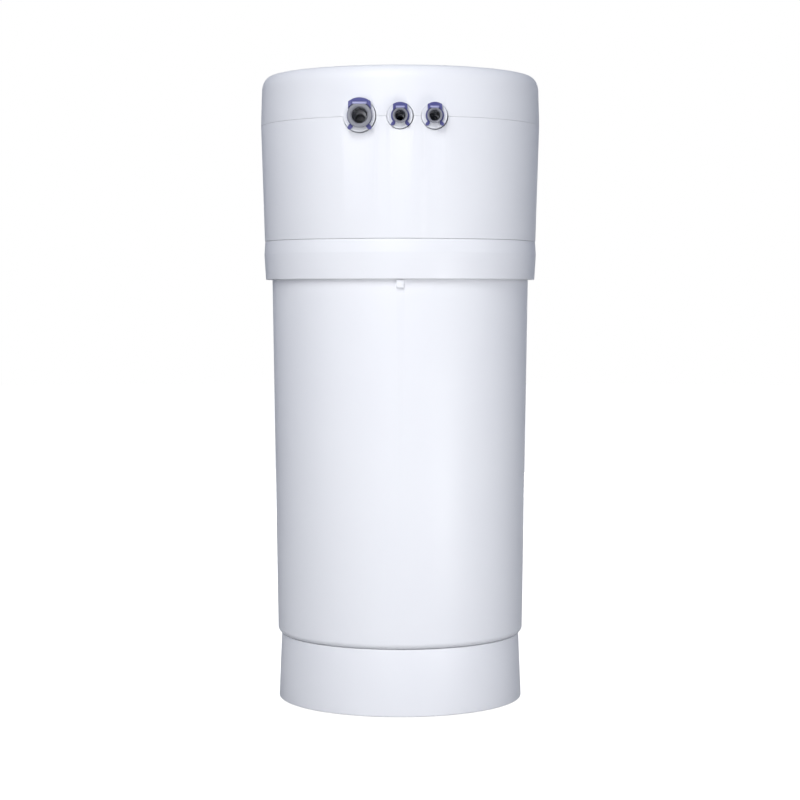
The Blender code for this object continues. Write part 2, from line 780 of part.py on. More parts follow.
def make_base(parent):
    """Make the base skirt with its deck, foot bosses and screw holes."""
    wall_foot = BASE_BOTTOM_RADIUS - BASE_WALL
    wall_head = BASE_TOP_RADIUS - BASE_WALL
    profile = [
        (0.0, BASE_SEAT_Z),
        (BASE_SEAT_RADIUS, BASE_SEAT_Z),
        (BASE_SEAT_RADIUS + BASE_SEAT_SLOPE, BASE_TOP_Z),
        (BASE_TOP_RADIUS - BASE_EDGE, BASE_TOP_Z),
        (BASE_TOP_RADIUS, BASE_TOP_Z - BASE_EDGE),
        (BASE_BOTTOM_RADIUS, BASE_BOTTOM_Z + BASE_EDGE),
        (BASE_BOTTOM_RADIUS - BASE_EDGE, BASE_BOTTOM_Z),
        (wall_foot, BASE_BOTTOM_Z),
        (wall_head, DECK_UNDERSIDE_Z),
        (0.0, DECK_UNDERSIDE_Z),
    ]
    base = solid_of("base_skirt", profile, SHELL_SEGMENTS, white_plastic("base_white"), parent)
    pocket_roof = FOOT_HEIGHT + CLEARANCE
    for index, (x, y, _) in enumerate(on_circle(FOOT_COUNT, FOOT_CIRCLE_RADIUS, FOOT_START_ANGLE)):
        low = BASE_BOTTOM_Z + FOOT_BOSS_RECESS
        high = DECK_UNDERSIDE_Z + FUSE_OVERLAP
        boss = stud(f"foot_boss_{index + 1}", FOOT_BOSS_RADIUS, low, high)
        boss.location = (x, y, 0.0)
        fuse(base, boss)
        pocket = bore(
            f"foot_pocket_{index + 1}",
            FOOT_RADIUS + CLEARANCE,
            BASE_BOTTOM_Z - CUT_OVERRUN,
            pocket_roof,
            PORT_SEGMENTS,
        )
        pocket.location = (x, y, 0.0)
        cut(base, pocket)
    for index, spot in enumerate(on_circle(SCREW_COUNT, BASE_SCREW_CIRCLE_RADIUS)):
        low = DECK_UNDERSIDE_Z - CUT_OVERRUN
        cut(base, screw_hole(f"base_hole_{index + 1}", low, BASE_SEAT_Z + CUT_OVERRUN, spot))


def make_feet(parent):
    """Make the four rubber feet that sit in the base's pockets."""
    profile = [
        (0.0, FOOT_HEIGHT),
        (FOOT_RADIUS, FOOT_HEIGHT),
        (FOOT_RADIUS, FOOT_CHAMFER),
        (FOOT_RADIUS - FOOT_CHAMFER, 0.0),
        (0.0, 0.0),
    ]
    places = on_circle(FOOT_COUNT, FOOT_CIRCLE_RADIUS, FOOT_START_ANGLE)
    for index, (x, y, _) in enumerate(places):
        name = f"foot_{index + 1}"
        foot = solid_of(name, profile, PORT_SEGMENTS, rubber(name + "_rubber"), parent)
        foot.location = (x, y, 0.0)


def make_base_screws(parent):
    """Make the screws from under the base into the vessel's bosses."""
    low = DECK_UNDERSIDE_Z - CLEARANCE
    high = VESSEL_BOTTOM_Z + BASE_SCREW_GRIP - CLEARANCE
    for index, spot in enumerate(on_circle(SCREW_COUNT, BASE_SCREW_CIRCLE_RADIUS)):
        name = f"base_screw_{index + 1}"
        screw(name, low, high, steel(name + "_steel"), parent, spot, head_up=False)


def shell_radius(height):
    """Give the lower shell's outer radius at a height."""
    foot_z = SHELL_BOTTOM_Z + SHELL_FOOT_ROUND
    return drafted(height, foot_z, SHELL_TOP_Z, SHELL_FOOT_RADIUS, SHELL_TOP_RADIUS)


def make_lower_shell(parent):
    """Make the tall drafted shell with its rounded foot and index tab."""
    foot_z = SHELL_BOTTOM_Z + SHELL_FOOT_ROUND
    floor_z = SHELL_BOTTOM_Z + SHELL_FLOOR
    round_centre = SHELL_FOOT_RADIUS - SHELL_FOOT_ROUND
    round_points = arc(
        round_centre,
        foot_z,
        SHELL_FOOT_ROUND,
        SHELL_FOOT_ROUND,
        0.0,
        -math.pi / 2,
        SHELL_FOOT_STEPS,
    )
    profile = [
        (SHELL_TOP_RADIUS, SHELL_TOP_Z),
        *round_points,
        (SHELL_FLOOR_HOLE_RADIUS, SHELL_BOTTOM_Z),
        (SHELL_FLOOR_HOLE_RADIUS, floor_z),
        (round_centre, floor_z),
        (SHELL_FOOT_RADIUS - SHELL_WALL, floor_z + SHELL_WALL),
        (SHELL_TOP_RADIUS - SHELL_WALL, SHELL_TOP_Z),
    ]
    shell = turned("lower_shell", profile, SHELL_SEGMENTS, white_plastic("shell_white"), parent)
    tab_top = COLLAR_BOTTOM_Z - CLEARANCE
    face = shell_radius(tab_top)
    tab = block(
        "index_tab",
        (-INDEX_TAB_WIDTH / 2, -face - INDEX_TAB_PROUD, tab_top - INDEX_TAB_HEIGHT),
        (INDEX_TAB_WIDTH / 2, -face + SHELL_WALL / 2, tab_top),
        None,
        edge=INDEX_TAB_EDGE,
    )
    fuse(shell, tab)
    for index, spot in enumerate(on_circle(SCREW_COUNT, BASE_SCREW_CIRCLE_RADIUS)):
        low = SHELL_BOTTOM_Z - CUT_OVERRUN
        cut(shell, screw_hole(f"shell_hole_{index + 1}", low, floor_z + CUT_OVERRUN, spot))


# Pressure vessel and cartridge


def make_vessel(parent):
    """Make the pressure vessel with its neck, guide ring, lugs and screw bosses."""
    inner = VESSEL_RADIUS - VESSEL_WALL
    underside_z = VESSEL_FLOOR_Z - VESSEL_WALL
    bend = VESSEL_BOTTOM_BEND
    slope = VESSEL_RADIUS - NECK_RADIUS
    ring_wall = shell_radius(GUIDE_RING_TOP_Z - GUIDE_RING_HEIGHT) - SHELL_WALL
    ring_radius = ring_wall * math.cos(math.pi / SHELL_SEGMENTS) - CLEARANCE
    profile = [
        (0.0, VESSEL_FLOOR_Z),
        (inner - bend, VESSEL_FLOOR_Z),
        (inner, VESSEL_FLOOR_Z + bend),
        (inner, VESSEL_SHOULDER_Z - slope),
        (NECK_BORE_RADIUS, VESSEL_SHOULDER_Z),
        (NECK_BORE_RADIUS, VESSEL_TOP_Z),
        (NECK_RADIUS, VESSEL_TOP_Z),
        (NECK_RADIUS, VESSEL_SHOULDER_Z + slope),
        (VESSEL_RADIUS, VESSEL_SHOULDER_Z),
        (VESSEL_RADIUS, GUIDE_RING_TOP_Z),
        (ring_radius, GUIDE_RING_TOP_Z),
        (ring_radius, GUIDE_RING_TOP_Z - GUIDE_RING_HEIGHT),
        (VESSEL_RADIUS, GUIDE_RING_TOP_Z - GUIDE_RING_HEIGHT),
        (VESSEL_RADIUS, underside_z + bend),
        (VESSEL_RADIUS - bend, underside_z),
        (0.0, underside_z),
    ]
    vessel_finish = plain_plastic("vessel_plastic")
    vessel = solid_of("pressure_vessel", profile, VESSEL_SEGMENTS, vessel_finish, parent)
    for index, (x, y, _) in enumerate(on_circle(SCREW_COUNT, BASE_SCREW_CIRCLE_RADIUS)):
        top = underside_z + FUSE_OVERLAP
        name = f"vessel_boss_{index + 1}"
        boss = stud(name, VESSEL_BOSS_RADIUS, VESSEL_BOTTOM_Z, top, SCREW_SEGMENTS)
        boss.location = (x, y, 0.0)
        fuse(vessel, boss)
        low = VESSEL_BOTTOM_Z - CUT_OVERRUN
        high = VESSEL_BOTTOM_Z + BASE_SCREW_GRIP
        cut(vessel, screw_hole(f"vessel_hole_{index + 1}", low, high, (x, y)))
    for index in range(LUG_COUNT):
        lug = ramped_lug(
            f"neck_lug_{index + 1}",
            NECK_RADIUS - FUSE_OVERLAP,
            NECK_RADIUS + NECK_LUG_REACH,
            LUG_CENTRE_Z + CLEARANCE / 2,
            NECK_LUG_HEIGHT,
            NECK_LUG_SPAN,
            index * FULL_TURN / LUG_COUNT,
        )
        fuse(vessel, lug)


def make_cartridge(parent):
    """Make the cartridge: caps, prefilter, carbon block, core tube and spigot seals."""
    rim_bore = CARTRIDGE_CAP_RADIUS - CARTRIDGE_CAP_WALL
    bottom_top = CARTRIDGE_BOTTOM_Z + CARTRIDGE_CAP_PLATE
    top_plate = CARTRIDGE_TOP_Z - CARTRIDGE_CAP_PLATE
    bottom_profile = [
        (0.0, bottom_top),
        (rim_bore, bottom_top),
        (rim_bore, bottom_top + CARTRIDGE_CAP_RIM),
        (CARTRIDGE_CAP_RADIUS, bottom_top + CARTRIDGE_CAP_RIM),
        (CARTRIDGE_CAP_RADIUS, CARTRIDGE_BOTTOM_Z),
        (0.0, CARTRIDGE_BOTTOM_Z),
    ]
    bottom_finish = plain_plastic("cartridge_bottom")
    solid_of("cartridge_bottom_cap", bottom_profile, VESSEL_SEGMENTS, bottom_finish, parent)
    groove_radius = SPIGOT_RADIUS - SPIGOT_GROOVE_DEPTH
    spigot_side = []
    groove_tops = []
    for index in range(SPIGOT_SEAL_COUNT):
        groove_top = SPIGOT_TOP_Z - SPIGOT_GROOVE_TOP_DROP - index * SPIGOT_GROOVE_PITCH
        groove_tops.append(groove_top)
        spigot_side += [
            (SPIGOT_RADIUS, groove_top),
            (groove_radius, groove_top),
            (groove_radius, groove_top - SPIGOT_GROOVE_WIDTH),
            (SPIGOT_RADIUS, groove_top - SPIGOT_GROOVE_WIDTH),
        ]
    top_profile = [
        (SPIGOT_RADIUS, SPIGOT_TOP_Z),
        *spigot_side,
        (SPIGOT_RADIUS, CARTRIDGE_TOP_Z),
        (CARTRIDGE_CAP_RADIUS, CARTRIDGE_TOP_Z),
        (CARTRIDGE_CAP_RADIUS, top_plate - CARTRIDGE_CAP_RIM),
        (rim_bore, top_plate - CARTRIDGE_CAP_RIM),
        (rim_bore, top_plate),
        (SPIGOT_BORE, top_plate),
        (SPIGOT_BORE, SPIGOT_TOP_Z),
    ]
    top_finish = plain_plastic("cartridge_top")
    turned("cartridge_top_cap", top_profile, CORE_SEGMENTS, top_finish, parent)
    sleeve_bore = SLEEVE_RADIUS - SLEEVE_THICKNESS
    layers = (
        ("carbon_block", CARBON_RADIUS, CORE_TUBE_RADIUS + CLEARANCE, (0.015, 0.015, 0.015)),
        ("prefilter_sleeve", SLEEVE_RADIUS, sleeve_bore, (0.80, 0.80, 0.78)),
        ("core_tube", CORE_TUBE_RADIUS, CORE_TUBE_RADIUS - CORE_TUBE_WALL, (0.70, 0.70, 0.70)),
    )
    for name, outer, inner, colour in layers:
        profile = tube_profile(outer, inner, CARTRIDGE_CORE_BOTTOM_Z, CARTRIDGE_CORE_TOP_Z)
        turned(name, profile, CORE_SEGMENTS, finish(name + "_finish", colour, 0.85), parent)
    for index, groove_top in enumerate(groove_tops):
        name = f"spigot_seal_{index + 1}"
        seal_ring(
            name,
            groove_radius + CLEARANCE + SPIGOT_SEAL_CORD_RADIUS,
            SPIGOT_SEAL_CORD_RADIUS,
            PORT_SEGMENTS,
            groove_top - SPIGOT_GROOVE_WIDTH / 2,
            rubber(name + "_rubber"),
            parent,
        )


# Head: block, seal, collar and screws


def make_head_block(parent):
    """Make the block that closes the vessel, with its plug, skirt, lugs and ways."""
    skirt_bore = HEAD_SKIRT_RADIUS - HEAD_SKIRT_WALL
    flange_bottom = HOUSING_BOTTOM_Z
    flange_radius = housing_radius(HEAD_TOP_Z) - HOUSING_WALL - TURNING_CLEARANCE
    groove_top = HEAD_UNDERSIDE_Z - SEAL_GROOVE_TOP_DROP
    groove_radius = PLUG_RADIUS - SEAL_GROOVE_DEPTH
    plug_bottom = HEAD_UNDERSIDE_Z - PLUG_DEPTH
    plug_bore = PLUG_RADIUS - PLUG_WALL
    roof = HEAD_UNDERSIDE_Z + PLUG_ROOF_DROP
    profile = [
        (flange_radius, HEAD_TOP_Z),
        (flange_radius, flange_bottom),
        (HEAD_SKIRT_RADIUS, flange_bottom),
        (HEAD_SKIRT_RADIUS, HEAD_SKIRT_BOTTOM_Z),
        (skirt_bore, HEAD_SKIRT_BOTTOM_Z),
        (skirt_bore, HEAD_UNDERSIDE_Z),
        (PLUG_RADIUS, HEAD_UNDERSIDE_Z),
        (PLUG_RADIUS, groove_top),
        (groove_radius, groove_top),
        (groove_radius, groove_top - SEAL_GROOVE_WIDTH),
        (PLUG_RADIUS, groove_top - SEAL_GROOVE_WIDTH),
        (PLUG_RADIUS, plug_bottom),
        (plug_bore, plug_bottom),
        (plug_bore, roof),
        (HUB_RADIUS, roof),
        (HUB_RADIUS, plug_bottom),
        (SPIGOT_BORE_RADIUS, plug_bottom),
        (SPIGOT_BORE_RADIUS, SPIGOT_BORE_ROOF_Z),
        (TREATED_BORE_RADIUS, SPIGOT_BORE_ROOF_Z),
        (TREATED_BORE_RADIUS, HEAD_TOP_Z),
    ]
    head = turned("head_block", profile, VESSEL_SEGMENTS, plain_plastic("head"), parent)
    for index in range(LUG_COUNT):
        lug = ramped_lug(
            f"skirt_lug_{index + 1}",
            skirt_bore - SKIRT_LUG_REACH,
            skirt_bore + FUSE_OVERLAP,
            LUG_CENTRE_Z - CLEARANCE / 2 - SKIRT_LUG_HEIGHT,
            SKIRT_LUG_HEIGHT,
            SKIRT_LUG_SPAN,
            index * FULL_TURN / LUG_COUNT,
        )
        fuse(head, lug)
    way = bore("raw_water_way", FEED_BORE_RADIUS, plug_bottom, HEAD_TOP_Z + CUT_OVERRUN)
    way.location = (PORTS[0].x, -FEED_PIPE_FORWARD, 0.0)
    cut(head, way)
    for index, spot in enumerate(head_screw_places()):
        low = flange_bottom - CUT_OVERRUN
        cut(head, screw_hole(f"head_hole_{index + 1}", low, HEAD_TOP_Z + CUT_OVERRUN, spot))
    for index, spot in enumerate(block_screw_places()):
        low = HEAD_TOP_Z - BLOCK_SCREW_GRIP - CLEARANCE
        cut(head, screw_hole(f"block_thread_{index + 1}", low, HEAD_TOP_Z + CUT_OVERRUN, spot))


def make_vessel_seal(parent):
    """Make the seal in the plug's groove."""
    outer = NECK_BORE_RADIUS - SEAL_SQUEEZE_GAP
    height = HEAD_UNDERSIDE_Z - SEAL_GROOVE_TOP_DROP - SEAL_GROOVE_WIDTH / 2
    seal_ring(
        "vessel_seal",
        outer - SEAL_CORD_RADIUS,
        SEAL_CORD_RADIUS,
        VESSEL_SEGMENTS,
        height,
        rubber("vessel_seal_rubber"),
        parent,
    )


def make_collar(parent):
    """Make the band round the waist, with the inner flange under the head."""
    flange_bore = HEAD_SKIRT_RADIUS + TURNING_CLEARANCE
    flange_bottom = COLLAR_TOP_Z - COLLAR_FLANGE
    profile = [
        (COLLAR_TOP_RADIUS - COLLAR_EDGE, COLLAR_TOP_Z),
        (COLLAR_TOP_RADIUS, COLLAR_TOP_Z - COLLAR_EDGE),
        (COLLAR_WIDE_RADIUS, COLLAR_TOP_Z - COLLAR_WIDE_DROP),
        (COLLAR_BOTTOM_RADIUS, COLLAR_BOTTOM_Z + COLLAR_EDGE),
        (COLLAR_BOTTOM_RADIUS - COLLAR_EDGE, COLLAR_BOTTOM_Z),
        (COLLAR_BORE_RADIUS, COLLAR_BOTTOM_Z),
        (COLLAR_BORE_RADIUS, flange_bottom),
        (flange_bore, flange_bottom),
        (flange_bore, COLLAR_TOP_Z),
    ]
    collar = turned("lock_collar", profile, SHELL_SEGMENTS, white_plastic("collar_white"), parent)
    for index, spot in enumerate(head_screw_places()):
        low = flange_bottom - CUT_OVERRUN
        cut(collar, screw_hole(f"collar_hole_{index + 1}", low, COLLAR_TOP_Z + CUT_OVERRUN, spot))


def head_screw_places():
    """Give the places of the screws that join collar, head and housing."""
    return on_circle(SCREW_COUNT, HEAD_SCREW_CIRCLE_RADIUS, HEAD_SCREW_START_ANGLE)


def make_head_screws(parent):
    """Make the screws from the collar's flange up into the housing's bosses."""
    low = COLLAR_TOP_Z - COLLAR_FLANGE - CLEARANCE
    high = ON_HEAD_Z + HEAD_SCREW_GRIP
    for index, spot in enumerate(head_screw_places()):
        name = f"head_screw_{index + 1}"
        screw(name, low, high, steel(name + "_steel"), parent, spot, head_up=False)


# Upper housing and top cover


def housing_radius(height):
    """Give the upper housing's outer radius at a height."""
    return drafted(height, HOUSING_BOTTOM_Z, HOUSING_TOP_Z, HOUSING_BOTTOM_RADIUS, SEAM_RADIUS)


def port_holes():
    """Make the round cutters that the housing and the cover share."""
    holes = []
    for port in PORTS:
        front = BOSS_FACE + CUT_OVERRUN
        back = BOSS_FACE - PORT_HOLE_DEPTH
        name = f"{port.name}_port_hole"
        hole = bore(name, port.hole_radius, back, front, CORE_SEGMENTS)
        holes.append(face_forward(hole, port.x))
    return holes


def make_upper_housing(parent, holes):
    """Make the upper housing with its port notches, bosses, posts and socket hole."""
    profile = [
        (SEAM_RADIUS, HOUSING_TOP_Z),
        (housing_radius(HOUSING_BOTTOM_Z + HOUSING_EDGE), HOUSING_BOTTOM_Z + HOUSING_EDGE),
        (HOUSING_BOTTOM_RADIUS - HOUSING_EDGE, HOUSING_BOTTOM_Z),
        (HOUSING_BOTTOM_RADIUS - HOUSING_WALL, HOUSING_BOTTOM_Z),
        (SEAM_RADIUS - HOUSING_WALL, HOUSING_TOP_Z),
    ]
    finish_white = white_plastic("housing_white")
    housing = turned("upper_housing", profile, SHELL_SEGMENTS, finish_white, parent)
    boss_inner = HEAD_SCREW_CIRCLE_RADIUS - HOUSING_BOSS_WIDTH / 2
    boss_outer = HOUSING_BOTTOM_RADIUS - HOUSING_WALL + HOUSING_BOSS_SINK
    for index, (x, y, angle) in enumerate(head_screw_places()):
        boss = block(
            f"housing_boss_{index + 1}",
            (boss_inner, -HOUSING_BOSS_WIDTH / 2, ON_HEAD_Z),
            (boss_outer, HOUSING_BOSS_WIDTH / 2, ON_HEAD_Z + HOUSING_BOSS_HEIGHT),
            None,
        )
        boss.rotation_euler = (0.0, 0.0, angle)
        fuse(housing, boss)
        low = ON_HEAD_Z - CUT_OVERRUN
        high = ON_HEAD_Z + HEAD_SCREW_GRIP + CLEARANCE
        cut(housing, screw_hole(f"boss_hole_{index + 1}", low, high, (x, y)))
    for index, (x, z) in enumerate(board_post_places()):
        fuse(housing, board_post(f"board_post_{index + 1}", x, z))
    for hole in holes:
        cut(housing, hole)
    cut(housing, socket_window())


def board_post_places():
    """Give the places of the posts that carry the control board."""
    across = BOARD_WIDTH / 2 - POST_INSET
    low = BOARD_BOTTOM_Z + POST_INSET
    high = BOARD_BOTTOM_Z + BOARD_HEIGHT - POST_INSET
    return [(side * across, z) for side in (-1, 1) for z in (low, high)]


def board_post(name, x, z):
    """Make a post with a pin, from the housing's back wall to the board."""
    shoulder = BOARD_BACK_Y + CLEARANCE
    wall = math.sqrt((housing_radius(z) - HOUSING_WALL) ** 2 - x ** 2)
    tip = BOARD_BACK_Y - BOARD_THICKNESS - BOARD_PIN_PROUD
    profile = [
        (0.0, -tip),
        (BOARD_PIN_RADIUS, -tip),
        (BOARD_PIN_RADIUS, -shoulder),
        (BOARD_POST_RADIUS, -shoulder),
        (BOARD_POST_RADIUS, -wall - BOARD_POST_SINK),
        (0.0, -wall - BOARD_POST_SINK),
    ]
    return face_forward(solid_of(name, profile, SCREW_SEGMENTS, None, start=JOIN_START), x, z)


def socket_window():
    """Make the cutter of the power socket's window in the back wall."""
    across = SOCKET_WIDTH / 2 + SOCKET_HOLE_GAP
    up = SOCKET_HEIGHT / 2 + SOCKET_HOLE_GAP
    return block(
        "socket_window",
        (-across, BOARD_BACK_Y + SOCKET_WINDOW_SETBACK, SOCKET_Z - up),
        (across, SEAM_RADIUS + CUT_OVERRUN, SOCKET_Z + up),
        None,
    )


def lip_notch(port):
    """Make the cutter that opens the cover's lip below a port, so that it lifts off."""
    half = port.hole_radius + LIP_NOTCH_GAP
    low = COVER_BOTTOM_Z - COVER_LIP_DEPTH - CUT_OVERRUN
    back = BOSS_FACE - PORT_HOLE_DEPTH
    return block(
        f"{port.name}_lip_notch",
        (port.x - half, -BOSS_FACE, low),
        (port.x + half, -back, PORT_Z),
        None,
    )


def make_top_cover(parent, holes):
    """Make the domed cover with its lip and port notches."""
    edge_radius = COVER_SHOULDER_RADIUS - COVER_SHOULDER_WIDTH
    crown = [
        (share * edge_radius, COVER_EDGE_Z + COVER_CROWN_RISE * (1 - share ** 2))
        for share in COVER_CROWN_SHARES
    ]
    shoulder = arc(
        edge_radius,
        COVER_SHOULDER_Z,
        COVER_SHOULDER_WIDTH,
        COVER_SHOULDER_HEIGHT,
        math.pi / 2,
        0.0,
        COVER_SHOULDER_STEPS,
    )
    inner_shoulder = arc(
        edge_radius,
        COVER_SHOULDER_Z,
        COVER_SHOULDER_WIDTH - COVER_WALL,
        COVER_SHOULDER_HEIGHT - COVER_WALL,
        0.0,
        math.pi / 2,
        COVER_INNER_STEPS,
    )
    lip_radius = (SEAM_RADIUS - HOUSING_WALL) * math.cos(math.pi / SHELL_SEGMENTS) - CLEARANCE
    lip_bore = lip_radius - COVER_LIP_WALL
    profile = [
        *crown,
        *shoulder,
        (SEAM_RADIUS, COVER_BOTTOM_Z),
        (lip_radius, COVER_BOTTOM_Z),
        (lip_radius, COVER_BOTTOM_Z - COVER_LIP_DEPTH),
        (lip_bore, COVER_BOTTOM_Z - COVER_LIP_DEPTH),
        (lip_bore, COVER_BOTTOM_Z + COVER_LIP_RISE),
        (SEAM_RADIUS - COVER_WALL, COVER_BOTTOM_Z + COVER_LIP_RISE + COVER_LIP_SLOPE),
        *inner_shoulder,
        (0.0, COVER_EDGE_Z - COVER_WALL + COVER_CROWN_RISE),
    ]
    cover = solid_of("top_cover", profile, SHELL_SEGMENTS, white_plastic("cover_white"), parent)
    for hole in holes:
        cut(cover, hole)
    for port in PORTS:
        cut(cover, lip_notch(port))


# Port block


def block_screw_places():
    """Give the places of the screws that hold the port block on the head."""
    feed_x = PORTS[0].x
    post_y = -(BAR_FRONT + BAR_BACK) / 2
    return [
        (feed_x - FEED_SCREW_OFFSET, -FEED_PIPE_FORWARD),
        (feed_x + FEED_SCREW_OFFSET, -FEED_PIPE_FORWARD),
        (POST_X + POST_SCREW_OFFSET, post_y),
    ]


def upright(name, radius, bottom, top, place_at):
    """Make an upright round helper at a place."""
    bar = stud(name, radius, bottom, top)
    bar.location = (place_at[0], place_at[1], 0.0)
    return bar


def foot_disc(name, radius, place_at):
    """Make the round foot under a pipe or post, on the head block."""
    disc = rod_profile(radius, ON_HEAD_Z, ON_HEAD_Z + FOOT_PLATE)
    foot = solid_of(name, disc, CORE_SEGMENTS, None)
    foot.location = (place_at[0], place_at[1], 0.0)
    return foot


def port_way(port):
    """Give the profile of the stepped bore that holds a port's pieces."""
    way_radius = FEED_BORE_RADIUS if port.name == "large" else TREATED_WAY_RADIUS
    treated_back = (BAR_FRONT + BAR_BACK) / 2 - TREATED_WAY_RADIUS
    way_back = FEED_PIPE_FORWARD if port.name == "large" else treated_back
    socket_radius = port.bore_radius + TUBE_SOCKET_GAP
    return [
        (0.0, BOSS_FACE + CUT_OVERRUN),
        (port.seat_radius, BOSS_FACE + CUT_OVERRUN),
        (port.seat_radius, BUSH_SHOULDER),
        (port.seal_chamber_radius, BUSH_SHOULDER),
        (port.seal_chamber_radius, SEAL_CHAMBER_BACK),
        (socket_radius, SEAL_CHAMBER_BACK),
        (socket_radius, TUBE_STOP),
        (way_radius, TUBE_STOP),
        (way_radius, way_back),
        (0.0, way_back),
    ]


def make_port_block(parent):
    """Make the block that joins the three ports to the head, with its water ways."""
    large, middle, right = PORTS
    bar = block(
        "port_block",
        (large.x - large.boss_radius - BAR_END_MARGIN, -BAR_FRONT, PORT_Z - BAR_HALF_HEIGHT),
        (right.x + right.boss_radius + BAR_END_MARGIN, -BAR_BACK, PORT_Z + BAR_HALF_HEIGHT),
        plain_plastic("port_block"),
        parent,
        edge=BAR_EDGE,
    )
    bar_middle = (BAR_FRONT + BAR_BACK) / 2
    for port in PORTS:
        barrel = stud(f"{port.name}_barrel", port.boss_radius, bar_middle, BOSS_FACE)
        fuse(bar, face_forward(barrel, port.x))
    elbow_back = FEED_PIPE_FORWARD - FEED_ELBOW_RADIUS
    elbow = stud("feed_elbow", FEED_ELBOW_RADIUS, elbow_back, bar_middle)
    fuse(bar, face_forward(elbow, large.x))
    feed = (large.x, -FEED_PIPE_FORWARD)
    post = (POST_X, -bar_middle)
    foot_top = ON_HEAD_Z + FOOT_PLATE
    fuse(bar, upright("feed_pipe", FEED_PIPE_RADIUS, ON_HEAD_Z + FUSE_OVERLAP, PORT_Z, feed))
    fuse(bar, foot_disc("feed_foot", FEED_FOOT_RADIUS, feed))
    fuse(bar, upright("post", POST_RADIUS, ON_HEAD_Z + FUSE_OVERLAP, PORT_Z, post))
    fuse(bar, foot_disc("post_foot", POST_FOOT_RADIUS, post))
    for port in PORTS:
        way = solid_of(
            f"{port.name}_way", port_way(port), PORT_SEGMENTS, None, start=CUT_START
        )
        cut(bar, face_forward(way, port.x))
    below = ON_HEAD_Z - CUT_OVERRUN
    feed_way = bore("feed_way", FEED_BORE_RADIUS, below, PORT_Z)
    feed_way.location = (*feed, 0.0)
    cut(bar, feed_way)
    outlet = bore("outlet_way", OUTLET_WAY_RADIUS, BAR_BACK - CUT_OVERRUN, bar_middle)
    cut(bar, face_forward(outlet, middle.x))
    cross = bore("cross_way", CROSS_WAY_RADIUS, middle.x, right.x)
    cross.location = (0.0, -bar_middle, PORT_Z)
    cross.rotation_euler = (0.0, math.pi / 2, 0.0)
    cut(bar, cross)
    for index, spot in enumerate(block_screw_places()):
        cut(bar, screw_hole(f"block_hole_{index + 1}", below, foot_top + CUT_OVERRUN, spot))


def make_block_screws(parent):
    """Make the screws that hold the port block on the head."""
    low = HEAD_TOP_Z - BLOCK_SCREW_GRIP
    high = ON_HEAD_Z + FOOT_PLATE + CLEARANCE
    for index, spot in enumerate(block_screw_places()):
        name = f"port_block_screw_{index + 1}"
        screw(name, low, high, steel(name + "_steel"), parent, spot, head_up=True)


# Port pieces


def make_bush(port, parent):
    """Make the bush that guides a collet."""
    name = f"{port.name}_port_bush"
    back = BUSH_FRONT - BUSH_LENGTH
    profile = tube_profile(port.bush_radius, port.bush_bore_radius, back, BUSH_FRONT)
    bush = turned(name, profile, PORT_SEGMENTS, plain_plastic(name + "_plastic"), parent)
    face_forward(bush, port.x)


def make_tube_seal(port, parent):
    """Make the seal that a tube pushes through."""
    name = f"{port.name}_tube_seal"
    middle = (BUSH_SHOULDER + SEAL_CHAMBER_BACK) / 2
    finish_rubber = rubber(name + "_rubber")
    seal = seal_ring(
        name, port.seal_radius, port.seal_cord_radius, PORT_SEGMENTS, 0.0, finish_rubber, parent
    )
    seal.data.transform(Matrix.Translation((0.0, 0.0, middle)))
    face_forward(seal, port.x)


def make_collet(port, parent):
    """Make a collet: a flange to press, a bevelled mouth and a slit barrel."""
    name = f"{port.name}_collet"
    back = COLLET_FRONT - COLLET_FLANGE_THICKNESS - COLLET_LENGTH
    profile = [
        (port.flange_radius - COLLET_EDGE, COLLET_FRONT),
        (port.flange_radius, COLLET_FRONT - COLLET_EDGE),
        (port.flange_radius, COLLET_FLANGE_BACK),
        (port.barrel_radius, COLLET_FLANGE_BACK),
        (port.barrel_radius, back),
        (port.bore_radius, back),
        (port.bore_radius, COLLET_FRONT - COLLET_MOUTH),
        (port.bore_radius + COLLET_MOUTH, COLLET_FRONT),
    ]
    collet = turned(name, profile, PORT_SEGMENTS, grey_plastic(name + "_grey"), parent)
    reach = port.barrel_radius + CUT_OVERRUN
    slit = COLLET_SLIT_WIDTH / 2
    low = back - CUT_OVERRUN
    high = back + COLLET_SLIT_LENGTH
    wide = block(f"{name}_slit_across", (-reach, -slit, low), (reach, slit, high), None)
    tall = block(f"{name}_slit_upright", (-slit, -reach, low), (slit, reach, high), None)
    cut(collet, face_forward(wide, port.x))
    cut(collet, face_forward(tall, port.x))
    face_forward(collet, port.x)


def clip_half_outline(port):
    """Give the right half of a clip's plate, from the top of its grip to its slot."""
    ring = port.ring_radius
    half = port.leg_width / 2
    grip_angle = math.acos(port.grip_half_width / port.clip_radius)
    neck_angle = math.acos(port.grip_half_width / ring)
    leg_start = math.sqrt(ring ** 2 - half ** 2)
    along = (math.cos(port.leg_angle), -math.sin(port.leg_angle))
    outward = (-along[1], along[0])
    leg_end = port.clip_radius - half
    shoulder_angle = math.atan2(
        leg_start * along[1] + half * outward[1], leg_start * along[0] + half * outward[0]
    )
    grip = arc(0.0, 0.0, port.clip_radius, port.clip_radius, math.pi / 2, grip_angle, CLIP_ARC_STEPS)
    side = arc(0.0, 0.0, ring, ring, neck_angle, shoulder_angle, CLIP_ARC_STEPS)
    end_x = leg_end * along[0]
    end_z = leg_end * along[1]
    outer_turn = math.atan2(outward[1], outward[0])
    tip = arc(end_x, end_z, half, half, outer_turn, -math.pi / 2, LEG_ROUND_STEPS)
    slot = port.slot_half_width
    tip = [(max(across, slot), up) for across, up in tip]
    slot_side = arc(0.0, 0.0, slot, slot, 0.0, math.pi / 2, CLIP_ARC_STEPS)
    return [*grip, *side, *tip, *slot_side]


def mirrored(half):
    """Close a right half outline with its mirror image."""
    left = [(-across, up) for across, up in reversed(half) if across > WELD_DISTANCE]
    return [*half, *left]


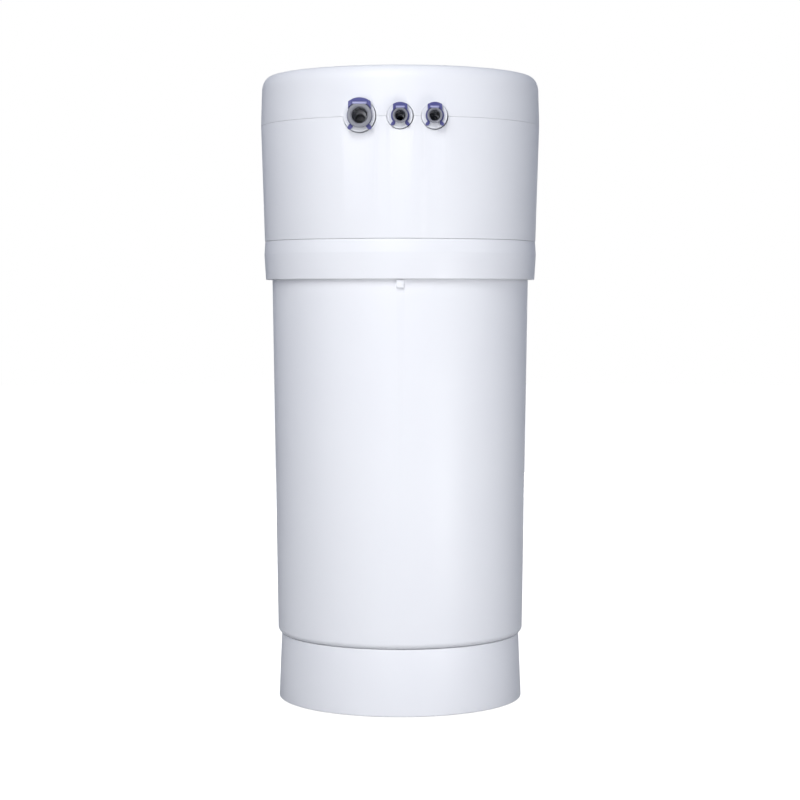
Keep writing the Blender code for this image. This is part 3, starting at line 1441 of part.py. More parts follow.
def make_clip(port, parent):
    """Make the violet clip that locks a collet, a plate with a hooded grip."""
    name = f"{port.name}_clip"
    plate = plate_from_outline(
        name,
        mirrored(clip_half_outline(port)),
        CLIP_BACK,
        CLIP_FRONT,
        violet_plastic(name + "_violet"),
        parent,
    )
    hood_bore = port.flange_radius + HOOD_GAP
    grip_angle = math.acos(port.grip_half_width / port.clip_radius)
    bore_angle = math.acos(port.grip_half_width / hood_bore)
    outer = arc(
        0.0, 0.0, port.clip_radius, port.clip_radius, math.pi / 2, grip_angle, CLIP_ARC_STEPS
    )
    inner = arc(0.0, 0.0, hood_bore, hood_bore, bore_angle, math.pi / 2, CLIP_ARC_STEPS)
    hood = plate_from_outline(
        name + "_hood",
        mirrored([*outer, *inner]),
        CLIP_FRONT - CLIP_THICKNESS / 2,
        COLLET_FRONT,
        None,
    )
    fuse(plate, face_forward(hood, port.x))
    face_forward(plate, port.x)


# Lamp chamber stack


def make_lamp_chamber(parent):
    """Make the chamber that the water passes under the lamp, with its side outlet."""
    inner = CHAMBER_RADIUS - CHAMBER_WALL
    spigot = TREATED_BORE_RADIUS - CLEARANCE
    spigot_bore = spigot - CHAMBER_SPIGOT_WALL
    floor = ON_HEAD_Z + CHAMBER_FLOOR
    profile = [
        (CHAMBER_FLANGE_RADIUS, CHAMBER_TOP_Z),
        (CHAMBER_FLANGE_RADIUS, CHAMBER_TOP_Z - CHAMBER_FLANGE),
        (CHAMBER_RADIUS, CHAMBER_TOP_Z - CHAMBER_FLANGE),
        (CHAMBER_RADIUS, ON_HEAD_Z),
        (spigot, ON_HEAD_Z),
        (spigot, ON_HEAD_Z - CHAMBER_SPIGOT_LENGTH),
        (spigot_bore, ON_HEAD_Z - CHAMBER_SPIGOT_LENGTH),
        (spigot_bore, floor),
        (inner, floor + CHAMBER_FLOOR_SLOPE),
        (inner, CHAMBER_TOP_Z),
    ]
    chamber = turned("lamp_chamber", profile, CORE_SEGMENTS, plain_plastic("chamber"), parent)
    wall_middle = CHAMBER_RADIUS - CHAMBER_WALL / 2
    stub = stud("chamber_stub", CHAMBER_STUB_RADIUS, wall_middle, CHAMBER_STUB_END)
    fuse(chamber, face_forward(stub))
    low = inner - CHAMBER_WALL
    way = bore("chamber_way", OUTLET_WAY_RADIUS, low, CHAMBER_STUB_END + CUT_OVERRUN)
    cut(chamber, face_forward(way))
    for index, spot in enumerate(sink_screw_places()):
        low = CHAMBER_TOP_Z - CHAMBER_FLANGE - CUT_OVERRUN
        high = CHAMBER_TOP_Z + CUT_OVERRUN
        cut(chamber, screw_hole(f"chamber_hole_{index + 1}", low, high, spot))


def sink_screw_places():
    """Give the places of the screws that clamp the lamp stack."""
    return on_circle(SINK_SCREW_COUNT, SINK_SCREW_CIRCLE_RADIUS, SINK_SCREW_START_ANGLE)


def make_lamp_stack(parent):
    """Make the window, the lamp board, the heat sink and their screws."""
    glass = finish("window_glass", (0.80, 0.90, 0.92), 0.05)
    window_top = WINDOW_BOTTOM_Z + WINDOW_THICKNESS
    pane = rod_profile(WINDOW_RADIUS, WINDOW_BOTTOM_Z, window_top)
    solid_of("lamp_window", pane, CORE_SEGMENTS, glass, parent)
    board_top = LAMP_BOARD_Z + LAMP_BOARD_THICKNESS
    board_profile = rod_profile(CHAMBER_FLANGE_RADIUS, LAMP_BOARD_Z, board_top)
    board_finish = finish("lamp_board_green", (0.03, 0.20, 0.08), 0.45)
    board = solid_of("lamp_board", board_profile, CORE_SEGMENTS, board_finish, parent)
    half = LAMP_SIDE / 2
    lamp_top = LAMP_BOARD_Z + LAMP_BOARD_THICKNESS / 2
    fuse(board, block("lamp", (-half, -half, LAMP_BOTTOM_Z), (half, half, lamp_top), None))
    sink_top = SINK_BOTTOM_Z + SINK_PLATE
    plate = rod_profile(CHAMBER_FLANGE_RADIUS, SINK_BOTTOM_Z, sink_top)
    sink_finish = finish("heat_sink_aluminium", (0.70, 0.71, 0.72), 0.35, 1.0)
    sink = solid_of("heat_sink", plate, CORE_SEGMENTS, sink_finish, parent)
    pitch = (SINK_FIN_SPAN - SINK_FIN_THICKNESS) / (SINK_FIN_COUNT - 1)
    for index in range(SINK_FIN_COUNT):
        left = -SINK_FIN_SPAN / 2 + index * pitch
        fin = block(
            f"fin_{index + 1}",
            (left, -SINK_FIN_LENGTH / 2, sink_top - FUSE_OVERLAP),
            (left + SINK_FIN_THICKNESS, SINK_FIN_LENGTH / 2, SINK_TOP_Z),
            None,
        )
        fuse(sink, fin)
    for index, spot in enumerate(sink_screw_places()):
        low = LAMP_BOARD_Z - CUT_OVERRUN
        cut(board, screw_hole(f"lamp_board_hole_{index + 1}", low, board_top + CUT_OVERRUN, spot))
        low = SINK_BOTTOM_Z - CUT_OVERRUN
        cut(sink, screw_hole(f"sink_hole_{index + 1}", low, sink_top + CUT_OVERRUN, spot))
        name = f"heat_sink_screw_{index + 1}"
        low = CHAMBER_TOP_Z - CHAMBER_FLANGE + SINK_SCREW_GRIP
        high = sink_top + CLEARANCE
        screw(name, low, high, steel(name + "_steel"), parent, spot, head_up=True)


# Flow sensor


def make_flow_sensor(parent):
    """Make the sensor's drum with its stubs, and the lid over it."""
    floor_top = SENSOR_BOTTOM_Z + SENSOR_WALL
    rim = SENSOR_BOTTOM_Z + SENSOR_HEIGHT
    bore_radius = SENSOR_RADIUS - SENSOR_WALL
    axle_hole = AXLE_RADIUS + CLEARANCE
    profile = [
        (SENSOR_RADIUS, rim),
        (SENSOR_RADIUS, SENSOR_BOTTOM_Z),
        (axle_hole, SENSOR_BOTTOM_Z),
        (axle_hole, floor_top),
        (bore_radius, floor_top),
        (bore_radius, rim),
    ]
    drum = turned("flow_sensor_body", profile, PORT_SEGMENTS, plain_plastic("sensor"), parent)
    drum.location = (SENSOR_X, -SENSOR_FORWARD, 0.0)
    ends = (
        ("sensor_inlet", CHAMBER_STUB_END + CLEARANCE, SENSOR_FORWARD - bore_radius),
        ("sensor_outlet", SENSOR_FORWARD + bore_radius, BAR_BACK - CLEARANCE),
    )
    for name, back, front in ends:
        fuse(drum, face_forward(stud(name, SENSOR_STUB_RADIUS, back, front, SCREW_SEGMENTS)))
    cavity = bore("sensor_cavity", bore_radius, floor_top, rim + CUT_OVERRUN, PORT_SEGMENTS)
    cavity.location = drum.location
    cut(drum, cavity)
    way = bore("sensor_way", OUTLET_WAY_RADIUS, CHAMBER_STUB_END - CUT_OVERRUN, BAR_BACK)
    cut(drum, face_forward(way))
    lid_bottom = rim + CLEARANCE
    lid_top = lid_bottom + SENSOR_LID
    spigot = bore_radius - CLEARANCE
    lid_profile = [
        (SENSOR_RADIUS, lid_top),
        (SENSOR_RADIUS, lid_bottom),
        (spigot, lid_bottom),
        (spigot, lid_bottom - SENSOR_LID),
        (axle_hole, lid_bottom - SENSOR_LID),
        (axle_hole, lid_top),
    ]
    lid = turned("flow_sensor_lid", lid_profile, PORT_SEGMENTS, plain_plastic("lid"), parent)
    lid.location = drum.location
    axle_profile = rod_profile(AXLE_RADIUS, SENSOR_BOTTOM_Z, lid_top)
    axle_steel = steel("turbine_axle_steel")
    axle = solid_of("turbine_axle", axle_profile, SCREW_SEGMENTS, axle_steel, parent)
    axle.location = drum.location


def make_turbine(parent):
    """Make the bladed rotor that the water spins on its axle."""
    low = SENSOR_BOTTOM_Z + SENSOR_WALL + CLEARANCE
    high = low + ROTOR_HEIGHT
    hub_profile = tube_profile(ROTOR_HUB_RADIUS, AXLE_RADIUS + CLEARANCE, low, high)
    rotor = turned("flow_turbine", hub_profile, SCREW_SEGMENTS, violet_plastic("turbine"), parent)
    rotor.location = (SENSOR_X, -SENSOR_FORWARD, 0.0)
    half = ROTOR_BLADE_THICKNESS / 2
    root = ROTOR_HUB_RADIUS - FUSE_OVERLAP
    for index in range(ROTOR_BLADE_COUNT):
        blade = block(
            f"blade_{index + 1}", (root, -half, low), (ROTOR_RADIUS, half, high), None
        )
        blade.location = rotor.location
        blade.rotation_euler = (0.0, 0.0, index * FULL_TURN / ROTOR_BLADE_COUNT)
        fuse(rotor, blade)


# Electronics


def make_control_board(parent):
    """Make the control board on its posts."""
    half = BOARD_WIDTH / 2
    board = block(
        "control_board",
        (-half, BOARD_BACK_Y - BOARD_THICKNESS, BOARD_BOTTOM_Z),
        (half, BOARD_BACK_Y, BOARD_BOTTOM_Z + BOARD_HEIGHT),
        finish("control_board_green", (0.03, 0.20, 0.08), 0.45),
        parent,
    )
    front = -(BOARD_BACK_Y - BOARD_THICKNESS) + CUT_OVERRUN
    back = -BOARD_BACK_Y - CUT_OVERRUN
    for index, (x, z) in enumerate(board_post_places()):
        hole = bore(f"board_hole_{index + 1}", BOARD_PIN_RADIUS + CLEARANCE, back, front)
        cut(board, face_forward(hole, x, z))


def make_power_socket(parent):
    """Make the low-voltage socket in the back wall, with its round bore and pin."""
    rear = housing_radius(SOCKET_Z) + SOCKET_PROUD
    half = SOCKET_WIDTH / 2
    up = SOCKET_HEIGHT / 2
    socket = block(
        "power_socket",
        (-half, BOARD_BACK_Y + CLEARANCE, SOCKET_Z - up),
        (half, rear, SOCKET_Z + up),
        finish("power_socket_black", (0.02, 0.02, 0.02), 0.45),
        parent,
    )
    bottom = rear - SOCKET_BORE_DEPTH
    ring = tube_profile(SOCKET_BORE_RADIUS, SOCKET_PIN_RADIUS, -rear - CUT_OVERRUN, -bottom)
    cutter = turned("socket_bore", ring, SCREW_SEGMENTS, None, start=CUT_START)
    cut(socket, face_forward(cutter, 0.0, SOCKET_Z))
    mouth = bore("socket_mouth", SOCKET_BORE_RADIUS, -rear - CUT_OVERRUN, -rear + CUT_OVERRUN)
    cut(socket, face_forward(mouth, 0.0, SOCKET_Z))


def main():
    """Build the filter body by body."""
    vessel = body_empty("vessel_body")
    cartridge = body_empty("cartridge_body")
    head = body_empty("head_body")
    cover = body_empty("cover_body")
    make_base(vessel)
    make_feet(vessel)
    make_base_screws(vessel)
    make_lower_shell(vessel)
    make_vessel(vessel)
    make_cartridge(cartridge)
    make_head_block(head)
    make_vessel_seal(head)
    make_collar(head)
    make_head_screws(head)
    holes = port_holes()
    make_upper_housing(head, holes)
    make_top_cover(cover, holes)
    make_port_block(head)
    make_block_screws(head)
    for port in PORTS:
        make_bush(port, head)
        make_tube_seal(port, head)
        make_collet(port, head)
        make_clip(port, head)
    make_lamp_chamber(head)
    make_lamp_stack(head)
    make_flow_sensor(head)
    make_turbine(head)
    make_control_board(head)
    make_power_socket(head)


clear_scene()
FILTER = new_collection("under_sink_water_filter")
CUTTERS = new_collection("cutters")
main()
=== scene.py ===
"""Under-sink water filter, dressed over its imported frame.

Lengths are metres, the housing's axis is Z, and the ports face -Y. A profile is a list of
corners (radius, height, rounding) that runs down the outer side of a turned piece. Port
pieces are turned about Z as well and then laid forward, so their heights are distances in
front of the axis until then.
"""

import json
import logging
import math
from abc import ABC, abstractmethod
from collections.abc import Callable, Sequence
from dataclasses import dataclass, replace
from enum import Enum
from itertools import pairwise

import bmesh
import bpy
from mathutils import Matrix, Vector


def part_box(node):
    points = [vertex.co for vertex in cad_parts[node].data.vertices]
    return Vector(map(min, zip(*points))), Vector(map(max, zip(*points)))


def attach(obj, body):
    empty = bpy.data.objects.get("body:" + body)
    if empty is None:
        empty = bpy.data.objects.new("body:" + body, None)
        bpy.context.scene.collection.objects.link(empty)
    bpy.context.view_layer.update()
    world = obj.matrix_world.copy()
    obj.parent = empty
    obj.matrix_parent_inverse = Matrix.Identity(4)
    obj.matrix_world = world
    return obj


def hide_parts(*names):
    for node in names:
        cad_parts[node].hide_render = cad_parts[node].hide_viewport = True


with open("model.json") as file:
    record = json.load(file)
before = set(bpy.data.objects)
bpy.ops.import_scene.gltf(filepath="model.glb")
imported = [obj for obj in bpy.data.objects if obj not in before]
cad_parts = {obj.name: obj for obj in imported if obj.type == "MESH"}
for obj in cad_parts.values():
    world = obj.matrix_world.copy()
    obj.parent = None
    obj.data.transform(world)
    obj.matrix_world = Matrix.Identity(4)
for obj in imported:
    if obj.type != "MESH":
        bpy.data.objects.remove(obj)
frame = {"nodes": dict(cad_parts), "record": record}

Object = bpy.types.Object
Material = bpy.types.Material
Node = bpy.types.Node
Socket = bpy.types.NodeSocket
Corner = tuple[float, ...]
Spot = tuple[float, float, float]

LOG = logging.getLogger("water_filter")
ORIGIN: Spot = (0.0, 0.0, 0.0)

# Facets round a turned piece, and steps along its curves
SHELL_STEPS = 192
VESSEL_STEPS = 128
PORT_STEPS = 96
SMALL_STEPS = 48
SCREW_STEPS = 32
CORD_STEPS = 24
RAMP_STEPS = 10

# How edges are rounded and shaded
MOST_ROUNDING = 0.45
SOFTENED_ANGLE = math.radians(40)
SMOOTHED_ANGLE = math.radians(32)

# Roundings, from the sharpest edge to the softest corner
BURR = 0.0001
KEEN = 0.0002
FINE = 0.0003
SLIGHT = 0.0004
EASY = 0.0005
SOFT = 0.0006
MILD = 0.0008
FULL = 0.0010
ROUND = 0.0012

# How far a tool reaches past the face that it works on
OVERRUN = 0.001

# Measures that several pieces share
HAIR = 0.00003
PORT_Z = 0.3793
INSIDE_SHELL = 0.0905
BEFORE_SHELL = 0.0935
ON_HEAD_Z = 0.3103
BAYONET_LEAD = 0.0300
PILOT = 0.0018
FEED_BORE = 0.0033
WATER_WAY = 0.0030
SCREW_SPIN = 0.3
FEED_Y = -0.0470
BLOCK_SCREWS = ((-0.0357, FEED_Y), (-0.0147, FEED_Y), (0.0345, -0.0560))
BOARD_PINS = tuple((x, z) for x in (-0.026, 0.026) for z in (0.328, 0.362))


# Modelling


class Joining(Enum):
    """The ways in which one solid works on another."""

    CUT = "DIFFERENCE"
    JOIN = "UNION"
    KEEP = "INTERSECT"


def take_up(piece: Object) -> None:
    """Select one piece alone and make it the active one.

    Args:
        piece: The piece to work on.
    """
    bpy.ops.object.select_all(action="DESELECT")
    bpy.context.view_layer.objects.active = piece
    piece.select_set(True)


def settle(piece: Object) -> Object:
    """Move a piece's place, turn and scale into its mesh.

    Args:
        piece: The piece, in object mode.

    Returns:
        The same piece, its object at the origin.
    """
    take_up(piece)
    bpy.ops.object.transform_apply(location=True, rotation=True, scale=True)
    return piece


def select_open_rings() -> None:
    """Select the open rings of the mesh being edited."""
    bpy.ops.mesh.select_all(action="DESELECT")
    bpy.ops.mesh.select_non_manifold(
        extend=False,
        use_wire=False,
        use_boundary=True,
        use_multi_face=False,
        use_non_contiguous=False,
        use_verts=False,
    )


def draw_ring_out(rise: float, growth: float = 1.0) -> None:
    """Extrude the selected ring along Z and scale it about the axis.

    Args:
        rise: The distance along Z.
        growth: The new radius as a share of the old one.
    """
    bpy.ops.mesh.extrude_region_move(TRANSFORM_OT_translate={"value": (0.0, 0.0, rise)})
    if growth != 1.0:
        bpy.ops.transform.resize(value=(growth, growth, 1.0), center_override=ORIGIN)


def close_ring(rise: float) -> None:
    """Close the selected ring with a cone or disc that ends on the axis.

    Args:
        rise: The height of the tip over the ring.
    """
    draw_ring_out(rise)
    bpy.ops.mesh.merge(type="CENTER")


def softened(corners: Sequence[Corner], steps: int, closed: bool) -> list[Corner]:
    """Round the corners of a profile.

    Args:
        corners: (radius, height) or (radius, height, rounding).
        steps: The number of steps of each rounding.
        closed: Whether the last corner joins the first.

    Returns:
        The profile's (radius, height) points.
    """
    count = len(corners)
    points: list[Corner] = []
    for index, corner in enumerate(corners):
        here = Vector(corner[:2])
        rounding = corner[2] if len(corner) > 2 else 0.0
        if not rounding or (not closed and index in (0, count - 1)):
            points.append(tuple(here))
            continue
        back = Vector(corners[index - 1][:2]) - here
        ahead = Vector(corners[(index + 1) % count][:2]) - here
        reach = min(rounding, MOST_ROUNDING * back.length, MOST_ROUNDING * ahead.length)
        start = here + back.normalized() * reach
        end = here + ahead.normalized() * reach
        for step in range(steps + 1):
            share = step / steps
            point = start * (1 - share) ** 2 + here * 2 * share * (1 - share) + end * share**2
            points.append(tuple(point))
    return points


def turn(
    name: str, corners: Sequence[Corner], segments: int = PORT_STEPS, steps: int = 4
) -> Object:
    """Turn a profile about the Z axis, ring by ring.

    Args:
        name: The piece's name.
        corners: A profile that starts and ends on the axis, or a loop clear of the axis.
        segments: The number of facets round the axis.
        steps: The number of steps of each rounding.

    Returns:
        The turned piece.
    """
    closed = corners[0][0] > 0.0
    points = softened(corners, steps, closed)
    chain = points if closed else points[1:-1]
    radius, height = chain[0]
    bpy.ops.object.select_all(action="DESELECT")
    bpy.ops.mesh.primitive_circle_add(vertices=segments, radius=radius, location=(0, 0, height))
    piece = bpy.context.active_object
    bpy.ops.object.mode_set(mode="EDIT")
    bpy.ops.mesh.select_mode(type="VERT")
    bpy.ops.mesh.select_all(action="SELECT")
    for (near, low), (far, high) in pairwise(chain):
        draw_ring_out(high - low, far / near)
    if closed:
        select_open_rings()
        bpy.ops.mesh.bridge_edge_loops()
    else:
        close_ring(points[-1][1] - chain[-1][1])
        select_open_rings()
        close_ring(points[0][1] - chain[0][1])
    bpy.ops.mesh.select_all(action="SELECT")
    bpy.ops.mesh.normals_make_consistent(inside=False)
    bpy.ops.object.mode_set(mode="OBJECT")
    piece.name = piece.data.name = name
    return settle(piece)


def rod(radius: float, low: float, high: float, rounding: float = 0.0) -> list[Corner]:
    """Give the open profile of a round bar.

    Args:
        radius: Its radius.
        low: Its lower end.
        high: Its upper end.
        rounding: The rounding of both rims.

    Returns:
        The profile, from the upper end to the lower.
    """
    return [(0.0, high), (radius, high, rounding), (radius, low, rounding), (0.0, low)]


def block(name: str, low: Spot, high: Spot, edge: float = 0.0, steps: int = 3) -> Object:
    """Make a box, with rounded edges if an edge is given.

    Args:
        name: The piece's name.
        low: Its lowest corner.
        high: Its highest corner.
        edge: The width of the rounding.
        steps: The number of steps of the rounding.

    Returns:
        The box.
    """
    centre = [(a + b) / 2 for a, b in zip(low, high)]
    size = [b - a for a, b in zip(low, high)]
    bpy.ops.object.select_all(action="DESELECT")
    bpy.ops.mesh.primitive_cube_add(size=1.0, location=centre)
    piece = bpy.context.active_object
    bpy.ops.object.mode_set(mode="EDIT")
    bpy.ops.mesh.select_all(action="SELECT")
    bpy.ops.transform.resize(value=size, center_override=centre)
    if edge:
        bpy.ops.mesh.bevel(offset=edge, segments=steps, affect="EDGES")
    bpy.ops.object.mode_set(mode="OBJECT")
    piece.name = piece.data.name = name
    return settle(piece)


def place_at(piece: Object, spot: Spot, spin: float = 0.0) -> Object:
    """Turn a piece about Z and move it to a place.

    Args:
        piece: The piece, modelled about the Z axis.
        spot: The distance to move it.
        spin: The angle to turn it first.

    Returns:
        The same piece.
    """
    piece.rotation_euler = (0.0, 0.0, spin)
    piece.location = spot
    return settle(piece)


def copy_of(piece: Object, name: str) -> Object:
    """Copy a piece with a mesh of its own.

    Args:
        piece: The piece to copy.
        name: The copy's name.

    Returns:
        The copy.
    """
    twin = piece.copy()
    twin.data = piece.data.copy()
    twin.name = twin.data.name = name
    bpy.context.scene.collection.objects.link(twin)
    return twin


def stand(piece: Object, spot: Spot, head_up: bool) -> Object:
    """Stand a fastener at its place, upright or upside down.

    Args:
        piece: The fastener, its head's top at the origin and its shank below.
        spot: The place of the head's top.
        head_up: Whether the head is at the upper end.

    Returns:
        The same piece.
    """
    piece.rotation_euler = (0.0 if head_up else math.pi, 0.0, SCREW_SPIN)
    piece.location = spot
    return settle(piece)


def scale_corners(piece: Object, share: float, wanted: Callable[[Vector], bool]) -> None:
    """Scale some corners of a piece about the Z axis.

    Args:
        piece: The piece.
        share: The new distance from the axis as a share of the old one.
        wanted: Tells by its place whether a corner moves.
    """
    take_up(piece)
    bpy.ops.object.mode_set(mode="EDIT")
    bpy.ops.mesh.select_mode(type="VERT")
    bpy.ops.mesh.select_all(action="DESELECT")
    cage = bmesh.from_edit_mesh(piece.data)
    for corner in cage.verts:
        corner.select_set(wanted(corner.co))
    cage.select_flush_mode()
    bmesh.update_edit_mesh(piece.data)
    bpy.ops.transform.resize(value=(share, share, 1.0), center_override=ORIGIN)
    bpy.ops.object.mode_set(mode="OBJECT")


def facet_of(spot: Vector, facets: int) -> int:
    """Give the number of the facet at which a corner of a turned piece lies.

    Args:
        spot: The corner's place.
        facets: The number of facets round the axis.

    Returns:
        The facet's number, negative below the X axis.
    """
    return round(math.atan2(spot.y, spot.x) / math.tau * facets)


def ramp(
    name: str, inner: float, outer: float, bottom: float, height: float, degrees: float
) -> Object:
    """Sweep an upright face round the axis as it climbs the bayonet's lead.

    Args:
        name: The piece's name.
        inner: The face's inner radius.
        outer: Its outer radius.
        bottom: The height of the lug's underside at its middle.
        height: The lug's own height.
        degrees: The angle of the sweep.

    Returns:
        The swept lug, its middle on the X axis.
    """
    span = math.radians(degrees)
    rise = BAYONET_LEAD * degrees / 360
    middle = ((inner + outer) / 2, 0.0, bottom + (height - rise) / 2)
    bpy.ops.object.select_all(action="DESELECT")
    bpy.ops.mesh.primitive_plane_add(size=1.0, location=middle, rotation=(math.pi / 2, 0.0, 0.0))
    piece = bpy.context.active_object
    piece.scale = (outer - inner, height, 1.0)
    piece.name = piece.data.name = name
    settle(piece)
    bpy.ops.object.mode_set(mode="EDIT")
    bpy.ops.mesh.select_all(action="SELECT")
    for _ in range(RAMP_STEPS):
        draw_ring_out(rise / RAMP_STEPS)
        bpy.ops.transform.rotate(value=-span / RAMP_STEPS, orient_axis="Z", center_override=ORIGIN)
    bpy.ops.mesh.select_all(action="SELECT")
    bpy.ops.mesh.normals_make_consistent(inside=False)
    bpy.ops.object.mode_set(mode="OBJECT")
    return place_at(piece, ORIGIN, -span / 2)


def cord_ring(ring: float, cord: float, height: float) -> Object:
    """Model a seal of round cord about the Z axis.

    Args:
        ring: The radius of the cord's middle line.
        cord: The cord's radius.
        height: The height of its middle.

    Returns:
        The seal.
    """
    corners = [
        (ring + cord * math.cos(a), height - cord * math.sin(a))
        for a in (math.radians(step * 360 / CORD_STEPS) for step in range(CORD_STEPS))
    ]
    return turn("seal", corners)


def gather(pieces: Sequence[Object]) -> Object:
    """Join several separate pieces into one object.

    Args:
        pieces: The pieces.

    Returns:
        The joined object.
    """
    take_up(pieces[0])
    for piece in pieces:
        piece.select_set(True)
    bpy.ops.object.join()
    return bpy.context.active_object


def lay_forward(piece: Object, across: float = 0.0, up: float = PORT_Z) -> Object:
    """Lay a piece down so that its Z axis points out of the ports.

    Args:
        piece: The piece, its heights measured forward from the axis.
        across: Its X place.
        up: Its Z place.

    Returns:
        The same piece.
    """
    piece.rotation_euler = (math.pi / 2, 0.0, 0.0)
    piece.location = (across, 0.0, up)
    return settle(piece)


def work(piece: Object, tool: Object, how: Joining) -> Object:
    """Cut a tool out of a piece, join it on or keep what both fill.

    Args:
        piece: The piece.
        tool: The solid that works on it, which is used up.
        how: The kind of work.

    Returns:
        The piece.
    """
    take_up(piece)
    bpy.ops.object.modifier_add(type="BOOLEAN")
    modifier = piece.modifiers[-1]
    modifier.operation = how.value
    modifier.solver = "EXACT"
    modifier.object = tool
    bpy.ops.object.modifier_apply(modifier=modifier.name)
    bpy.data.objects.remove(tool)
    return piece


def soften_edges(piece: Object, width: float) -> None:
    """Round every sharp edge of a piece.

    Args:
        piece: The piece.
        width: The width of the rounding.
    """
    take_up(piece)
    bpy.ops.object.modifier_add(type="BEVEL")
    modifier = piece.modifiers[-1]
    modifier.width = width
    modifier.segments = 2
    modifier.limit_method = "ANGLE"
    modifier.angle_limit = SOFTENED_ANGLE
    modifier.use_clamp_overlap = True
    bpy.ops.object.modifier_apply(modifier=modifier.name)


def round_rim(piece: Object, width: float, wanted: Callable[[Vector], bool]) -> None:
    """Round the edges whose two ends are wanted.

    Args:
        piece: The piece.
        width: The width of the rounding.
        wanted: Tells whether a corner lies on the rim.
    """
    take_up(piece)
    bpy.ops.object.mode_set(mode="EDIT")
    bpy.ops.mesh.select_mode(type="EDGE")
    bpy.ops.mesh.select_all(action="DESELECT")
    cage = bmesh.from_edit_mesh(piece.data)
    chosen = [edge for edge in cage.edges if all(wanted(corner.co) for corner in edge.verts)]
    for edge in chosen:
        edge.select_set(True)
    bmesh.update_edit_mesh(piece.data)
    if chosen:
        bpy.ops.mesh.bevel(offset=width, segments=2, affect="EDGES", clamp_overlap=False)
    bpy.ops.object.mode_set(mode="OBJECT")


def on_circle(count: int, radius: float, start: float = 0.0) -> list[tuple[float, float, float]]:
    """Give evenly spaced places round the axis.

    Args:
        count: How many.
        radius: Their distance from the axis.
        start: The angle of the first.

    Returns:
        The x, y and angle of each place.
    """
    angles = [start + index * math.tau / count for index in range(count)]
    return [(radius * math.cos(a), radius * math.sin(a), a) for a in angles]


def drill(
    piece: Object,
    radius: float,
    low: float,
    high: float,
    spots: Sequence[Sequence[float]],
    spin: float = 0.0,
) -> None:
    """Drill upright holes into a piece.

    Args:
        piece: The piece.
        radius: The holes' radius.
        low: The height of their lower end.
        high: The height of their upper end.
        spots: The x and y of each, and whatever follows them.
        spin: The turn of the cutters' facets, to keep them clear of the piece's own.
    """
    for x, y, *_ in spots:
        hole = turn("hole", rod(radius, low, high), SCREW_STEPS)
        work(piece, place_at(hole, (x, y, 0.0), spin), Joining.CUT)


# Finishes


class Sheet:
    """A node tree with short calls to add nodes and join them."""

    def __init__(self, tree: bpy.types.NodeTree) -> None:
        """Keep the tree.

        Args:
            tree: A material's, a world's or a group's tree.
        """
        self.tree = tree

    def add(
        self, kind: str, inputs: dict[str | int, object] | None = None, **fields: object
    ) -> Node:
        """Add a node.

        Args:
            kind: Its type, without the leading words that all share.
            inputs: Values or sockets for its inputs, by name or number.
            fields: Values for its own fields.

        Returns:
            The node.
        """
        node = self.tree.nodes.new("ShaderNode" + kind)
        for field, value in fields.items():
            setattr(node, field, value)
        for key, value in (inputs or {}).items():
            self.feed(node, key, value)
        return node

    def feed(self, node: Node, key: str | int, value: object) -> None:
        """Set one input of a node, or join a socket to it.

        Args:
            node: The node.
            key: The input's name or number.
            value: A value or an output socket.
        """
        if isinstance(value, Socket):
            self.tree.links.new(value, node.inputs[key])
        else:
            node.inputs[key].default_value = value


def shader_group(
    name: str, build: Callable[[Sheet, Node, Node], None], ins: dict, outs: dict
) -> bpy.types.NodeTree:
    """Make a shader node group once.

    Args:
        name: The group's name.
        build: Fills the group, given its sheet and its input and output nodes.
        ins: The default value of each input, by name.
        outs: The socket kind of each output, by name.

    Returns:
        The group.
    """
    if name in bpy.data.node_groups:
        return bpy.data.node_groups[name]
    group = bpy.data.node_groups.new(name, "ShaderNodeTree")
    for label, value in ins.items():
        kind = "NodeSocketColor" if isinstance(value, tuple) else "NodeSocketFloat"
        group.interface.new_socket(label, in_out="INPUT", socket_type=kind).default_value = value
    for label, kind in outs.items():
        group.interface.new_socket(label, in_out="OUTPUT", socket_type=kind)
    entry = group.nodes.new("NodeGroupInput")
    leave = group.nodes.new("NodeGroupOutput")
    build(Sheet(group), entry, leave)
    return group


def fill_tone(sheet: Sheet, entry: Node, leave: Node) -> None:
    """Fill the group that shifts a colour a little over the surface.

    Args:
        sheet: The group's sheet.
        entry: Its input node.
        leave: Its output node.
    """
    place = sheet.add("TexCoord").outputs["Object"]
    broad = sheet.add(
        "TexNoise", {"Vector": place, "Scale": entry.outputs["Scale"], "Detail": 3.0}
    )
    share = sheet.add(
        "MapRange",
        {"Value": broad.outputs["Fac"], 1: 0.25, 2: 0.75, 3: 0.0, 4: entry.outputs["Spread"]},
        interpolation_type="SMOOTHERSTEP",
    )
    mix = sheet.add(
        "Mix",
        {0: share.outputs[0], 6: entry.outputs["Colour"], 7: entry.outputs["Second"]},
        data_type="RGBA",
    )
    sheet.feed(leave, "Colour", mix.outputs[2])


